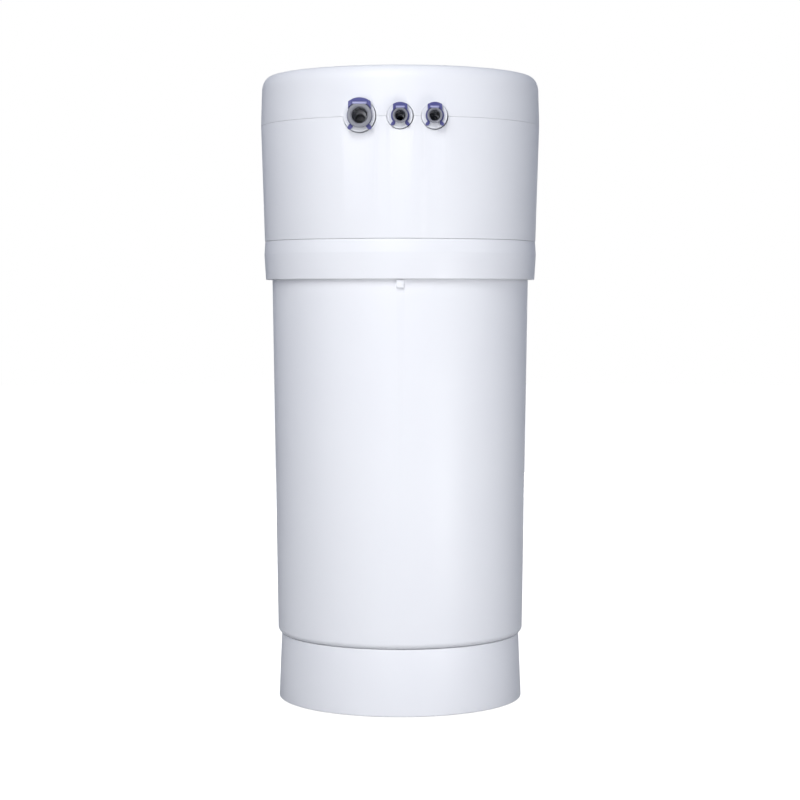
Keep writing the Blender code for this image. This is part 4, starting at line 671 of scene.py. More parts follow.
def fill_grain(sheet: Sheet, entry: Node, leave: Node) -> None:
    """Fill the group of a moulded skin: long waves, fine grain and their roughness.

    Args:
        sheet: The group's sheet.
        entry: Its input node.
        leave: Its output node.
    """
    place = sheet.add("TexCoord").outputs["Object"]
    fine = sheet.add(
        "TexNoise", {"Vector": place, "Scale": entry.outputs["Grain"], "Detail": 2.0}
    )
    long = sheet.add("TexNoise", {"Vector": place, "Scale": entry.outputs["Wave"], "Detail": 1.0})
    height = sheet.add(
        "Math",
        {0: long.outputs["Fac"], 1: entry.outputs["Wave share"], 2: fine.outputs["Fac"]},
        operation="MULTIPLY_ADD",
    )
    sheet.feed(leave, "Height", height.outputs[0])
    share = sheet.add("Math", {0: entry.outputs["Wave share"], 1: 1.0}, operation="ADD")
    level = sheet.add("Math", {0: height.outputs[0], 1: share.outputs[0]}, operation="DIVIDE")
    rough = sheet.add(
        "MapRange",
        {
            "Value": level.outputs[0],
            1: 0.15,
            2: 0.85,
            3: entry.outputs["Smooth"],
            4: entry.outputs["Rough"],
        },
        interpolation_type="SMOOTHERSTEP",
    )
    sheet.feed(leave, "Roughness", rough.outputs[0])


def fill_edges(sheet: Sheet, entry: Node, leave: Node) -> None:
    """Fill the group that finds outer edges, broken up by noise.

    Args:
        sheet: The group's sheet.
        entry: Its input node.
        leave: Its output node.
    """
    shape = sheet.add("NewGeometry").outputs["Pointiness"]
    place = sheet.add("TexCoord").outputs["Object"]
    noise = sheet.add("TexNoise", {"Vector": place, "Scale": entry.outputs["Scale"], "Detail": 4.0})
    keen = sheet.add("MapRange", {"Value": shape, 1: 0.52, 2: 0.60})
    mask = sheet.add(
        "Math", {0: keen.outputs[0], 1: noise.outputs["Fac"]}, operation="MULTIPLY", use_clamp=True
    )
    share = sheet.add(
        "Math", {0: mask.outputs[0], 1: entry.outputs["Amount"]}, operation="MULTIPLY"
    )
    sheet.feed(leave, "Mask", share.outputs[0])


def tone_group() -> bpy.types.NodeTree:
    """Give the group of colour shifts."""
    white = (1.0, 1.0, 1.0, 1.0)
    ins = {"Colour": white, "Second": white, "Scale": 9.0, "Spread": 1.0}
    return shader_group("moulding_tone", fill_tone, ins, {"Colour": "NodeSocketColor"})


def grain_group() -> bpy.types.NodeTree:
    """Give the group of moulded skins."""
    ins = {"Grain": 900.0, "Wave": 14.0, "Wave share": 0.5, "Smooth": 0.2, "Rough": 0.3}
    outs = {"Height": "NodeSocketFloat", "Roughness": "NodeSocketFloat"}
    return shader_group("moulded_skin", fill_grain, ins, outs)


def edge_group() -> bpy.types.NodeTree:
    """Give the group of rubbed edges."""
    ins = {"Scale": 220.0, "Amount": 0.5}
    return shader_group("rubbed_edges", fill_edges, ins, {"Mask": "NodeSocketFloat"})


def started(name: str) -> tuple[Sheet, Node]:
    """Start a material.

    Args:
        name: The material's name.

    Returns:
        Its sheet and its shader.
    """
    material = bpy.data.materials.new(name)
    material.use_nodes = True
    return Sheet(material.node_tree), material.node_tree.nodes["Principled BSDF"]


@dataclass(frozen=True)
class Finish(ABC):
    """A finish: one material that is made once, and the slot that it belongs to."""

    name: str
    slot: str

    def material(self) -> Material:
        """Build the finish, or give it if it is built.

        Returns:
            The material.
        """
        if self.name not in bpy.data.materials:
            self.fill(*started(self.name))
        return bpy.data.materials[self.name]

    @abstractmethod
    def fill(self, sheet: Sheet, shader: Node) -> None:
        """Fill the new material.

        Args:
            sheet: Its sheet.
            shader: Its shader.
        """


@dataclass(frozen=True)
class MouldedPlastic(Finish):
    """A plastic, rubber, metal or pressed finish: tone, skin and rubbed edges."""

    colour: tuple[float, float, float]
    second: tuple[float, float, float]
    edge: tuple[float, float, float]
    smooth: float
    rough: float
    grain: float = 1400.0
    wave: float = 12.0
    relief: float = 0.00002
    metallic: float = 0.0

    def fill(self, sheet: Sheet, shader: Node) -> None:
        """Fill the new material.

        Args:
            sheet: Its sheet.
            shader: Its shader.
        """
        tone = sheet.add(
            "Group",
            {"Colour": (*self.colour, 1.0), "Second": (*self.second, 1.0)},
            node_tree=tone_group(),
        )
        skin = sheet.add(
            "Group",
            {"Grain": self.grain, "Wave": self.wave, "Smooth": self.smooth, "Rough": self.rough},
            node_tree=grain_group(),
        )
        rubbed = sheet.add("Group", node_tree=edge_group())
        mix = sheet.add(
            "Mix",
            {0: rubbed.outputs["Mask"], 6: tone.outputs["Colour"], 7: (*self.edge, 1.0)},
            data_type="RGBA",
        )
        bump = sheet.add(
            "Bump",
            {"Height": skin.outputs["Height"], "Distance": self.relief, "Strength": 0.35},
        )
        sheet.feed(shader, "Base Color", mix.outputs[2])
        sheet.feed(shader, "Roughness", skin.outputs["Roughness"])
        sheet.feed(shader, "Normal", bump.outputs["Normal"])
        sheet.feed(shader, "Metallic", self.metallic)


WHITE_SHELL = MouldedPlastic(
    "glossy_white_shell",
    "white_plastic",
    colour=(0.86, 0.865, 0.89),
    second=(0.84, 0.845, 0.875),
    edge=(0.92, 0.92, 0.94),
    smooth=0.37,
    rough=0.46,
)
WHITE_BAND = replace(WHITE_SHELL, name="polished_white_band", smooth=0.28, rough=0.35)
WHITE_BLOCK = MouldedPlastic(
    "satin_white_block",
    "port_white",
    colour=(0.84, 0.85, 0.88),
    second=(0.80, 0.81, 0.85),
    edge=(0.90, 0.90, 0.92),
    smooth=0.30,
    rough=0.42,
)
LAMP_WHITE = replace(WHITE_BLOCK, slot="circuit_board")
COLLET_GREY = MouldedPlastic(
    "satin_collet_grey",
    "collet_grey",
    colour=(0.26, 0.264, 0.292),
    second=(0.23, 0.235, 0.265),
    edge=(0.37, 0.38, 0.42),
    smooth=0.32,
    rough=0.46,
)
CLIP_VIOLET = MouldedPlastic(
    "satin_clip_violet",
    "clip_violet",
    colour=(0.078, 0.078, 0.255),
    second=(0.064, 0.064, 0.215),
    edge=(0.12, 0.125, 0.315),
    smooth=0.30,
    rough=0.44,
)
# Painted light: a paler copy of the clip's violet for the ledge in its window, standing for the
# light caught there, not a colour of the clip's own
CLIP_LEDGE_PAINTED_LIGHT = MouldedPlastic(
    "clip_ledge_painted_light",
    "clip_violet",
    colour=(0.42, 0.42, 0.68),
    second=(0.37, 0.37, 0.63),
    edge=(0.56, 0.57, 0.78),
    smooth=0.26,
    rough=0.38,
)
PLAIN_MOULDING = MouldedPlastic(
    "plain_moulding",
    "moulded_plastic",
    colour=(0.60, 0.62, 0.64),
    second=(0.52, 0.55, 0.57),
    edge=(0.72, 0.73, 0.75),
    smooth=0.38,
    rough=0.55,
)
BLACK_RUBBER = MouldedPlastic(
    "matt_black_rubber",
    "black_rubber",
    colour=(0.018, 0.018, 0.020),
    second=(0.030, 0.030, 0.032),
    edge=(0.06, 0.06, 0.06),
    smooth=0.62,
    rough=0.85,
    grain=2600.0,
    relief=0.00006,
)
SCREW_STEEL = MouldedPlastic(
    "turned_screw_steel",
    "screw_steel",
    colour=(0.52, 0.52, 0.54),
    second=(0.42, 0.42, 0.44),
    edge=(0.70, 0.70, 0.72),
    smooth=0.24,
    rough=0.42,
    metallic=1.0,
)
ALUMINIUM = MouldedPlastic(
    "drawn_aluminium",
    "sink_aluminium",
    colour=(0.72, 0.73, 0.74),
    second=(0.62, 0.63, 0.65),
    edge=(0.85, 0.85, 0.86),
    smooth=0.28,
    rough=0.45,
    metallic=1.0,
)
BLACK_CARBON = MouldedPlastic(
    "pressed_carbon",
    "carbon",
    colour=(0.012, 0.012, 0.012),
    second=(0.030, 0.030, 0.030),
    edge=(0.05, 0.05, 0.05),
    smooth=0.75,
    rough=0.95,
    grain=700.0,
    relief=0.0003,
)
FLEECE = MouldedPlastic(
    "pressed_fleece",
    "filter_fleece",
    colour=(0.78, 0.78, 0.76),
    second=(0.70, 0.70, 0.67),
    edge=(0.85, 0.85, 0.83),
    smooth=0.85,
    rough=0.98,
    grain=1800.0,
    relief=0.0002,
)
BOARD_GREEN = MouldedPlastic(
    "board_green",
    "circuit_board",
    colour=(0.02, 0.16, 0.06),
    second=(0.03, 0.22, 0.09),
    edge=(0.30, 0.28, 0.15),
    smooth=0.25,
    rough=0.40,
)
SOCKET_BLACK = MouldedPlastic(
    "matt_socket_black",
    "socket_black",
    colour=(0.018, 0.018, 0.019),
    second=(0.028, 0.028, 0.030),
    edge=(0.07, 0.07, 0.07),
    smooth=0.35,
    rough=0.50,
)
TURBINE_BLUE = MouldedPlastic(
    "milky_turbine_blue",
    "turbine_blue",
    colour=(0.05, 0.10, 0.40),
    second=(0.04, 0.08, 0.34),
    edge=(0.15, 0.20, 0.55),
    smooth=0.30,
    rough=0.45,
)


@dataclass(frozen=True)
class Quartz(Finish):
    """Clear polished quartz."""

    def fill(self, sheet: Sheet, shader: Node) -> None:
        """Fill the new material.

        Args:
            sheet: Its sheet.
            shader: Its shader.
        """
        skin = sheet.add("Group", {"Smooth": 0.02, "Rough": 0.06}, node_tree=grain_group())
        sheet.feed(shader, "Base Color", (0.93, 0.97, 0.98, 1.0))
        sheet.feed(shader, "Transmission Weight", 0.92)
        sheet.feed(shader, "IOR", 1.46)
        sheet.feed(shader, "Roughness", skin.outputs["Roughness"])


CLEAR_QUARTZ = Quartz("clear_quartz", "quartz")


def dressed(piece: Object, name: str, finish: Finish, body: str, *nodes: str) -> None:
    """Finish a piece: shade it, dress it, and let it stand for nodes of the frame.

    Args:
        piece: The piece.
        name: Its final name.
        finish: Its finish.
        body: The body it rides on.
        nodes: The frame's nodes that it replaces.
    """
    piece.name = piece.data.name = name
    settle(piece)
    bpy.ops.object.shade_smooth_by_angle(angle=SMOOTHED_ANGLE)
    piece.data.materials.clear()
    piece.data.materials.append(finish.material())
    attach(piece, body)
    if nodes:
        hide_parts(*nodes)
    LOG.info("%s: %d faces on %s", name, len(piece.data.polygons), body)


# Screw circles

HEAD_SCREWS = on_circle(4, 0.0810, math.pi / 4)
BASE_SCREWS = on_circle(4, 0.0580)
LAMP_SCREWS = on_circle(3, 0.0253, math.pi / 2)


# Shells


@dataclass
class PortPlace:
    """Where a tube port stands and how large its pieces are."""

    name: str
    across: float
    tube: float
    wall: float
    flange: float
    hole: float
    ring: float
    grip: float
    grip_half: float
    leg: float
    leg_angle: float
    leg_gap: float
    window_half: float
    window_low: float
    window_top: float
    cord: float

    @property
    def bore(self) -> float:
        """Give the collet's bore radius."""
        return self.tube + 0.0001

    @property
    def barrel(self) -> float:
        """Give the collet's barrel radius."""
        return self.bore + self.wall

    def on_rim(self, spot: Vector) -> bool:
        """Tell whether a corner of a shell lies on the outer rim of this port's hole.

        Args:
            spot: The corner's place.

        Returns:
            True on the rim.
        """
        off = math.hypot(spot.x - self.across, spot.z - PORT_Z)
        outside = math.hypot(spot.x, spot.y) > INSIDE_SHELL and spot.y < 0
        return outside and abs(off - self.hole) < HAIR


LARGE_PORT = PortPlace(
    "large",
    across=-0.0252,
    tube=0.0047625,
    wall=0.00115,
    flange=0.00765,
    hole=0.01035,
    ring=0.0079,
    grip=0.0109,
    grip_half=0.0070,
    leg=0.0026,
    leg_angle=math.radians(50),
    leg_gap=0.0039,
    window_half=0.0046,
    window_low=0.0069,
    window_top=0.0083,
    cord=0.00095,
)
MIDDLE_PORT = PortPlace(
    "middle",
    across=0.0,
    tube=0.003175,
    wall=0.00075,
    flange=0.00475,
    hole=0.0084,
    ring=0.0057,
    grip=0.0081,
    grip_half=0.0045,
    leg=0.0021,
    leg_angle=math.radians(48),
    leg_gap=0.0031,
    window_half=0.0028,
    window_low=0.0045,
    window_top=0.0058,
    cord=0.00078,
)
RIGHT_PORT = replace(MIDDLE_PORT, name="right", across=0.02145)
PORTS = (LARGE_PORT, MIDDLE_PORT, RIGHT_PORT)


def cut_port_holes(shell: Object) -> None:
    """Cut the three port holes into a shell and round their rims.

    Args:
        shell: The cover or the housing.
    """
    for port in PORTS:
        hole = turn("hole", rod(port.hole, 0.070, BEFORE_SHELL))
        work(shell, lay_forward(hole, port.across), Joining.CUT)
    for port in PORTS:
        round_rim(shell, 0.00018, port.on_rim)


@dataclass
class TopCover:
    """The domed cover that lifts off the upper housing."""

    seam_z: float = 0.37936
    seam_radius: float = 0.09204
    shoulder_z: float = 0.4020
    shoulder_radius: float = 0.09142
    shoulder_width: float = 0.0060
    shoulder_height: float = 0.0095
    crown_rise: float = 0.0025
    wall: float = 0.0025
    lip_radius: float = 0.08896
    lip_wall: float = 0.0020
    lip_depth: float = 0.0074

    def outer(self) -> list[Corner]:
        """Give the outer side, from the middle of the crown to the seam."""
        edge = self.shoulder_radius - self.shoulder_width
        top = self.shoulder_z + self.shoulder_height
        crown = [
            (share * edge, top + self.crown_rise * (1 - share**2))
            for share in (0.0, 0.06, 0.15, 0.3, 0.45, 0.6, 0.75, 0.88)
        ]
        shoulder = [
            (
                edge + self.shoulder_width * math.sin(math.radians(angle)),
                self.shoulder_z + self.shoulder_height * math.cos(math.radians(angle)),
            )
            for angle in range(0, 91, 6)
        ]
        wall = [(0.09150, 0.3990), (0.09167, 0.3937), (0.09193, 0.3858)]
        return [*crown, *shoulder, *wall, (self.seam_radius, self.seam_z, 0.0001)]

    def inner(self) -> list[Corner]:
        """Give the lip and the inner side, from the seam to the middle."""
        edge = self.shoulder_radius - self.shoulder_width
        top = self.shoulder_z + self.shoulder_height - self.wall
        lip_bore = self.lip_radius - self.lip_wall
        low = self.seam_z - self.lip_depth
        return [
            (self.lip_radius, self.seam_z),
            (self.lip_radius, low, SLIGHT),
            (lip_bore, low, SLIGHT),
            (lip_bore, self.seam_z + 0.0025),
            (self.seam_radius - self.wall, self.seam_z + 0.0050),
            (self.shoulder_radius - self.wall, self.shoulder_z),
            (edge + 0.0024, top - 0.0018),
            (edge, top),
            (0.02, top + 0.0020),
            (0.0, top + self.crown_rise),
        ]

    def build(self) -> None:
        """Model and dress the cover."""
        cover = turn("cover", [*self.outer(), *self.inner()], SHELL_STEPS)
        cut_port_holes(cover)
        for port in PORTS:
            half = port.hole + 0.0004
            low = (port.across - half, -0.0925, self.seam_z - self.lip_depth - OVERRUN)
            notch = block("notch", low, (port.across + half, -0.070, PORT_Z))
            work(cover, notch, Joining.CUT)
        dressed(cover, "domed_cover", WHITE_SHELL, "cover", "top_cover")


@dataclass
class UpperHousing:
    """The upper housing, with screw bosses, board posts and the socket's window."""

    bottom_z: float = 0.30367
    bottom_radius: float = 0.08976
    top_z: float = 0.37924
    seam_radius: float = 0.09204
    wall: float = 0.0025
    boss_near: float = 0.0765
    boss_far: float = 0.0877
    boss_width: float = 0.0090
    boss_height: float = 0.0135
    board_back: float = 0.0700
    board_face: float = 0.0669
    draft: float = 0.0302

    def build(self) -> None:
        """Model and dress the housing."""
        corners = [
            (self.seam_radius, self.top_z, BURR),
            (self.bottom_radius, self.bottom_z, 0.00035),
            (self.bottom_radius - self.wall, self.bottom_z, FINE),
            (self.seam_radius - self.wall, self.top_z, FINE),
        ]
        housing = turn("housing", corners, SHELL_STEPS)
        half = self.boss_width / 2
        low = (self.boss_near, -half, ON_HEAD_Z)
        high = (self.boss_far, half, ON_HEAD_Z + self.boss_height)
        for place in HEAD_SCREWS:
            boss = place_at(block("boss", low, high, MILD), ORIGIN, place[2])
            work(housing, boss, Joining.JOIN)
            drill(housing, PILOT, 0.309, ON_HEAD_Z + 0.0083, [place])
        for x, z in BOARD_PINS:
            work(housing, self.board_post(x, z), Joining.JOIN)
        cut_port_holes(housing)
        window = block("window", (-0.0079, 0.076, 0.3256), (0.0079, 0.0932, 0.3384), SLIGHT)
        work(housing, window, Joining.CUT)
        dressed(housing, "tapered_housing", WHITE_SHELL, "head", "upper_housing")

    def board_post(self, x: float, z: float) -> Object:
        """Model one post with its pin.

        Args:
            x: Its X place.
            z: Its Z place.

        Returns:
            The post.
        """
        wall_radius = self.bottom_radius + (z - self.bottom_z) * self.draft - self.wall
        root = -math.sqrt(wall_radius**2 - x**2) - OVERRUN
        tip, shoulder = -self.board_face, -self.board_back - 0.0003
        pin, post = 0.0012, 0.0030
        corners = [
            (0.0, tip),
            (pin, tip, FINE),
            (pin, shoulder),
            (post, shoulder, FINE),
            (post, root),
            (0.0, root),
        ]
        return lay_forward(turn("post", corners, SCREW_STEPS), x, z)


@dataclass
class LockCollar:
    """The band round the waist, with its inner flange."""

    bottom_z: float = 0.2784
    top_z: float = 0.30353
    top_radius: float = 0.0895
    wide_radius: float = 0.09012
    bottom_radius: float = 0.0891
    bore: float = 0.0857
    flange_bore: float = 0.0786
    flange: float = 0.00445

    def build(self) -> None:
        """Model and dress the collar."""
        corners = [
            (self.top_radius, self.top_z, SLIGHT),
            (self.wide_radius, self.top_z - 0.0085, FINE),
            (self.bottom_radius, self.bottom_z, EASY),
            (self.bore, self.bottom_z, FINE),
            (self.bore, self.top_z - self.flange),
            (self.flange_bore, self.top_z - self.flange, FINE),
            (self.flange_bore, self.top_z, FINE),
        ]
        collar = turn("collar", corners, SHELL_STEPS, steps=6)
        drill(collar, PILOT, 0.2980, self.top_z + OVERRUN, HEAD_SCREWS)
        dressed(collar, "waist_band", WHITE_BAND, "head", "lock_collar")


@dataclass
class LowerShell:
    """The tall drafted shell with its rounded foot and index tab."""

    bottom_z: float = 0.0438
    top_z: float = 0.2920
    top_radius: float = 0.08505
    foot_radius: float = 0.0815
    foot_round: float = 0.0040
    wall: float = 0.0025
    floor: float = 0.0030
    tab_top: float = 0.2781
    draft: float = 0.0144
    opening: float = 0.0500

    def build(self) -> None:
        """Model and dress the shell."""
        centre = self.foot_radius - self.foot_round
        foot_z = self.bottom_z + self.foot_round
        foot = [
            (centre + self.foot_round * math.cos(a), foot_z - self.foot_round * math.sin(a))
            for a in (math.radians(step * 9) for step in range(11))
        ]
        corners = [
            (self.top_radius, self.top_z, SLIGHT),
            *foot,
            (self.opening, self.bottom_z, SLIGHT),
            (self.opening, self.bottom_z + self.floor, SLIGHT),
            (centre, self.bottom_z + self.floor, FULL),
            (self.foot_radius - self.wall, self.bottom_z + self.floor + self.wall, FULL),
            (self.top_radius - self.wall, self.top_z, SLIGHT),
        ]
        shell = turn("shell", corners, SHELL_STEPS)
        face = self.foot_radius + self.draft * (self.tab_top - foot_z)
        low = (-0.0025, -face - 0.0020, self.tab_top - 0.0055)
        high = (0.0025, -face + 0.00125, self.tab_top)
        work(shell, block("tab", low, high, SOFT), Joining.JOIN)
        drill(shell, PILOT, self.bottom_z - OVERRUN, self.bottom_z + 0.0040, BASE_SCREWS)
        dressed(shell, "tall_shell", WHITE_SHELL, "vessel", "lower_shell")


@dataclass
class BaseSkirt:
    """The flared skirt with its deck and foot bosses."""

    bottom_z: float = 0.0008
    top_z: float = 0.0420
    top_radius: float = 0.0791
    bottom_radius: float = 0.0809
    wall: float = 0.0028
    deck: float = 0.0030
    seat_z: float = 0.0435
    seat_radius: float = 0.0700
    lip_z: float = 0.0436
    lip_bore: float = 0.0771
    rib_low: float = 0.0270
    foot_circle: float = 0.0700
    foot_boss: float = 0.0085
    foot_pocket: float = 0.0073
    pocket_top: float = 0.0030

    def build(self) -> None:
        """Model and dress the skirt."""
        under = self.top_z - self.deck
        corners = [
            (0.0, self.seat_z),
            (self.seat_radius, self.seat_z, FINE),
            (self.seat_radius + 0.0008, self.top_z, FINE),
            (self.lip_bore, self.top_z, FINE),
            (self.lip_bore, self.lip_z, KEEN),
            (self.top_radius, self.lip_z, SOFT),
            (self.bottom_radius, self.bottom_z, 0.0009),
            (self.bottom_radius - self.wall, self.bottom_z, EASY),
            (self.top_radius - self.wall, under, ROUND),
            (0.0, under),
        ]
        base = turn("base", corners, SHELL_STEPS)
        for x, y, _ in on_circle(4, self.foot_circle, math.pi / 4):
            spot = (x, y, 0.0)
            boss = turn("boss", rod(self.foot_boss, 0.0012, 0.0398, SLIGHT), SMALL_STEPS)
            work(base, place_at(boss, spot, 0.02), Joining.JOIN)
            pocket = turn("pocket", rod(self.foot_pocket, -0.001, self.pocket_top), SMALL_STEPS)
            work(base, place_at(pocket, spot, 0.05), Joining.CUT)
        for _, _, angle in on_circle(8, 1.0, math.pi / 8):
            high = (0.0768, 0.0008, under + 0.0005)
            rib = block("rib", (0.0120, -0.0008, self.rib_low), high, FINE)
            work(base, place_at(rib, ORIGIN, angle), Joining.JOIN)
        outer, inner, over = 0.0150, 0.0134, under + 0.0005
        ring = [
            (outer, over),
            (outer, self.rib_low, FINE),
            (inner, self.rib_low, FINE),
            (inner, over),
        ]
        work(base, turn("ring", ring), Joining.JOIN)
        drill(base, PILOT, 0.0380, self.seat_z + OVERRUN, BASE_SCREWS)
        dressed(base, "flared_base", WHITE_SHELL, "vessel", "base_skirt")


# Ports


@dataclass
class PushFitPort:
    """One tube port: bush, seal, collet and locking clip."""

    place: PortPlace
    seat: float = 0.0800
    bush_face: float = 0.0924
    seal_middle: float = 0.0780
    behind: float = 0.0920
    before: float = 0.0980
    clip_back: float = 0.0928
    clip_front: float = 0.0943
    flange_back: float = 0.0955
    front: float = 0.0968
    length: float = 0.0128
    slit: float = 0.0009

    def build(self) -> None:
        """Model and dress the port's pieces."""
        self.bush()
        self.seal()
        self.collet()
        self.clip()

    def bush(self) -> None:
        """Model the bush that guides the collet."""
        bore = self.place.barrel + 0.0003
        outer = bore + 0.00225
        corners = [
            (outer, self.bush_face, BURR),
            (outer, self.seat, FINE),
            (bore, self.seat, FINE),
            (bore, self.bush_face, FINE),
        ]
        bush = lay_forward(turn("bush", corners), self.place.across)
        name = self.place.name
        dressed(bush, f"{name}_guide_bush", WHITE_BLOCK, "head", f"{name}_port_bush")

    def seal(self) -> None:
        """Model the seal, a ring of round cord."""
        cord = self.place.cord
        ring = self.place.bore + 0.0004 + cord
        seal = lay_forward(cord_ring(ring, cord, self.seal_middle), self.place.across)
        name = self.place.name
        dressed(seal, f"{name}_seal_ring", BLACK_RUBBER, "head", f"{name}_tube_seal")

    def collet(self) -> None:
        """Model the collet: flange, bevelled mouth, slit barrel and gripping teeth."""
        place = self.place
        back = self.front - self.length
        corners = [
            (place.flange, self.front, 0.00035),
            (place.flange, self.flange_back, 0.00025),
            (place.barrel, self.flange_back, FINE),
            (place.barrel, back, FINE),
            (place.bore - 0.0005, back, KEEN),
            (place.bore - 0.0005, back + 0.0006, KEEN),
            (place.bore, back + 0.0014, KEEN),
            (place.bore, self.front - 0.0010, FINE),
            (place.bore + 0.0009, self.front, FINE),
        ]
        collet = turn("collet", corners)
        for spin in (0.0, math.pi / 2):
            reach, half = place.barrel + OVERRUN, self.slit / 2
            slit = block("slit", (-reach, -half, back - OVERRUN), (reach, half, back + 0.0060))
            work(collet, place_at(slit, ORIGIN, spin), Joining.CUT)
        low = (-0.008, place.window_low - 0.0001, 0.0950)
        work(collet, block("flat", low, (0.008, 0.0090, self.before)), Joining.CUT)
        lay_forward(collet, place.across)
        name, body = place.name, f"{place.name}_collet_body"
        dressed(collet, f"{name}_release_collet", COLLET_GREY, body, f"{name}_collet")
        self.teeth(back + 0.0022)

    def teeth(self, depth: float) -> None:
        """Model the ring of steel teeth that grips the tube.

        Args:
            depth: The distance of the teeth from the housing's axis.
        """
        place = self.place
        tip = place.tube - 0.0006
        corners = [
            (place.bore + 0.0001, depth + 0.0009),
            (place.bore + 0.0001, depth + 0.0006),
            (tip, depth - 0.0002),
            (tip, depth),
        ]
        teeth = turn("teeth", corners, SMALL_STEPS)
        scale_corners(
            teeth,
            (place.tube + tip) / 2 / tip,
            lambda spot: math.hypot(spot.x, spot.y) < tip + 0.00001
            and facet_of(spot, SMALL_STEPS) % 4 == 0,
        )
        lay_forward(teeth, place.across)
        dressed(teeth, f"{place.name}_grip_teeth", SCREW_STEEL, f"{place.name}_collet_body")

    def clip(self) -> None:
        """Model the clip: a snap ring with two legs and a hooded grip with a window."""
        place = self.place
        slot = place.barrel + 0.00025
        corners = [
            (place.ring, self.clip_front),
            (place.ring, self.clip_back),
            (slot, self.clip_back),
            (slot, self.clip_front),
        ]
        clip = turn("clip", corners)
        leg_end = place.grip - place.leg / 2
        low = (-place.leg / 2, -leg_end, self.clip_back + HAIR)
        high = (place.leg / 2, -place.ring * 0.85, self.clip_front - HAIR)
        for side in (-1, 1):
            leg = block("leg", low, high)
            work(leg, self.leg_tip(leg_end), Joining.JOIN)
            place_at(leg, ORIGIN, side * (math.pi / 2 - place.leg_angle))
            work(clip, leg, Joining.JOIN)
        work(clip, self.grip(slot), Joining.JOIN)
        low = (-place.leg_gap, -0.014, self.behind)
        work(clip, block("gap", low, (place.leg_gap, 0.0, self.before)), Joining.CUT)
        low = (-place.window_half, place.window_low, self.behind)
        high = (place.window_half, place.window_top, self.before)
        work(clip, block("window", low, high, FINE), Joining.CUT)
        soften_edges(clip, KEEN)
        lay_forward(clip, place.across)
        name, body = place.name, f"{place.name}_clip_body"
        dressed(clip, f"{name}_locking_clip", CLIP_VIOLET, body, f"{name}_clip")
        # The ledge paints the light caught in the clip's window with a paler violet
        self.ledge()

    def ledge(self) -> None:
        """Model the pale ledge in the clip's window, whose paler violet is painted light that
        stands for the light caught in the window.
        """
        place = self.place
        half = place.window_half - 0.00005
        low, high = place.window_low + 0.00005, place.window_top + 0.0002
        ledge = block("ledge", (-half, low, 0.0946), (half, high, 0.0965), FINE)
        lay_forward(ledge, place.across)
        # Painted light: the ledge's pale violet stands for light caught in the window
        dressed(ledge, f"{place.name}_clip_ledge", CLIP_LEDGE_PAINTED_LIGHT, f"{place.name}_clip_body")

    def leg_tip(self, leg_end: float) -> Object:
        """Model the round tip of a leg that points down.

        Args:
            leg_end: The distance of the tip's centre from the port's axis.

        Returns:
            The tip.
        """
        ends = (self.clip_back + HAIR, self.clip_front - HAIR)
        tip = turn("tip", rod(self.place.leg / 2, *ends), SMALL_STEPS)
        return place_at(tip, (0.0, -leg_end, 0.0), 0.05)

    def grip(self, slot: float) -> Object:
        """Model the grip, with its hood over the collet's flange.

        Args:
            slot: The radius of the slot that holds the collet's barrel.

        Returns:
            The grip.
        """
        place = self.place
        grip = turn("grip", rod(place.grip, self.clip_back + HAIR, self.front))
        low = (-place.grip_half, place.ring * 0.45, self.behind)
        keep = block("keep", low, (place.grip_half, 0.0130, self.before))
        work(grip, keep, Joining.KEEP)
        over_flange = rod(place.flange + 0.0005, self.clip_front - HAIR, self.before)
        work(grip, turn("clear", over_flange), Joining.CUT)
        return work(grip, turn("bore", rod(slot + 0.0001, self.behind, self.before)), Joining.CUT)


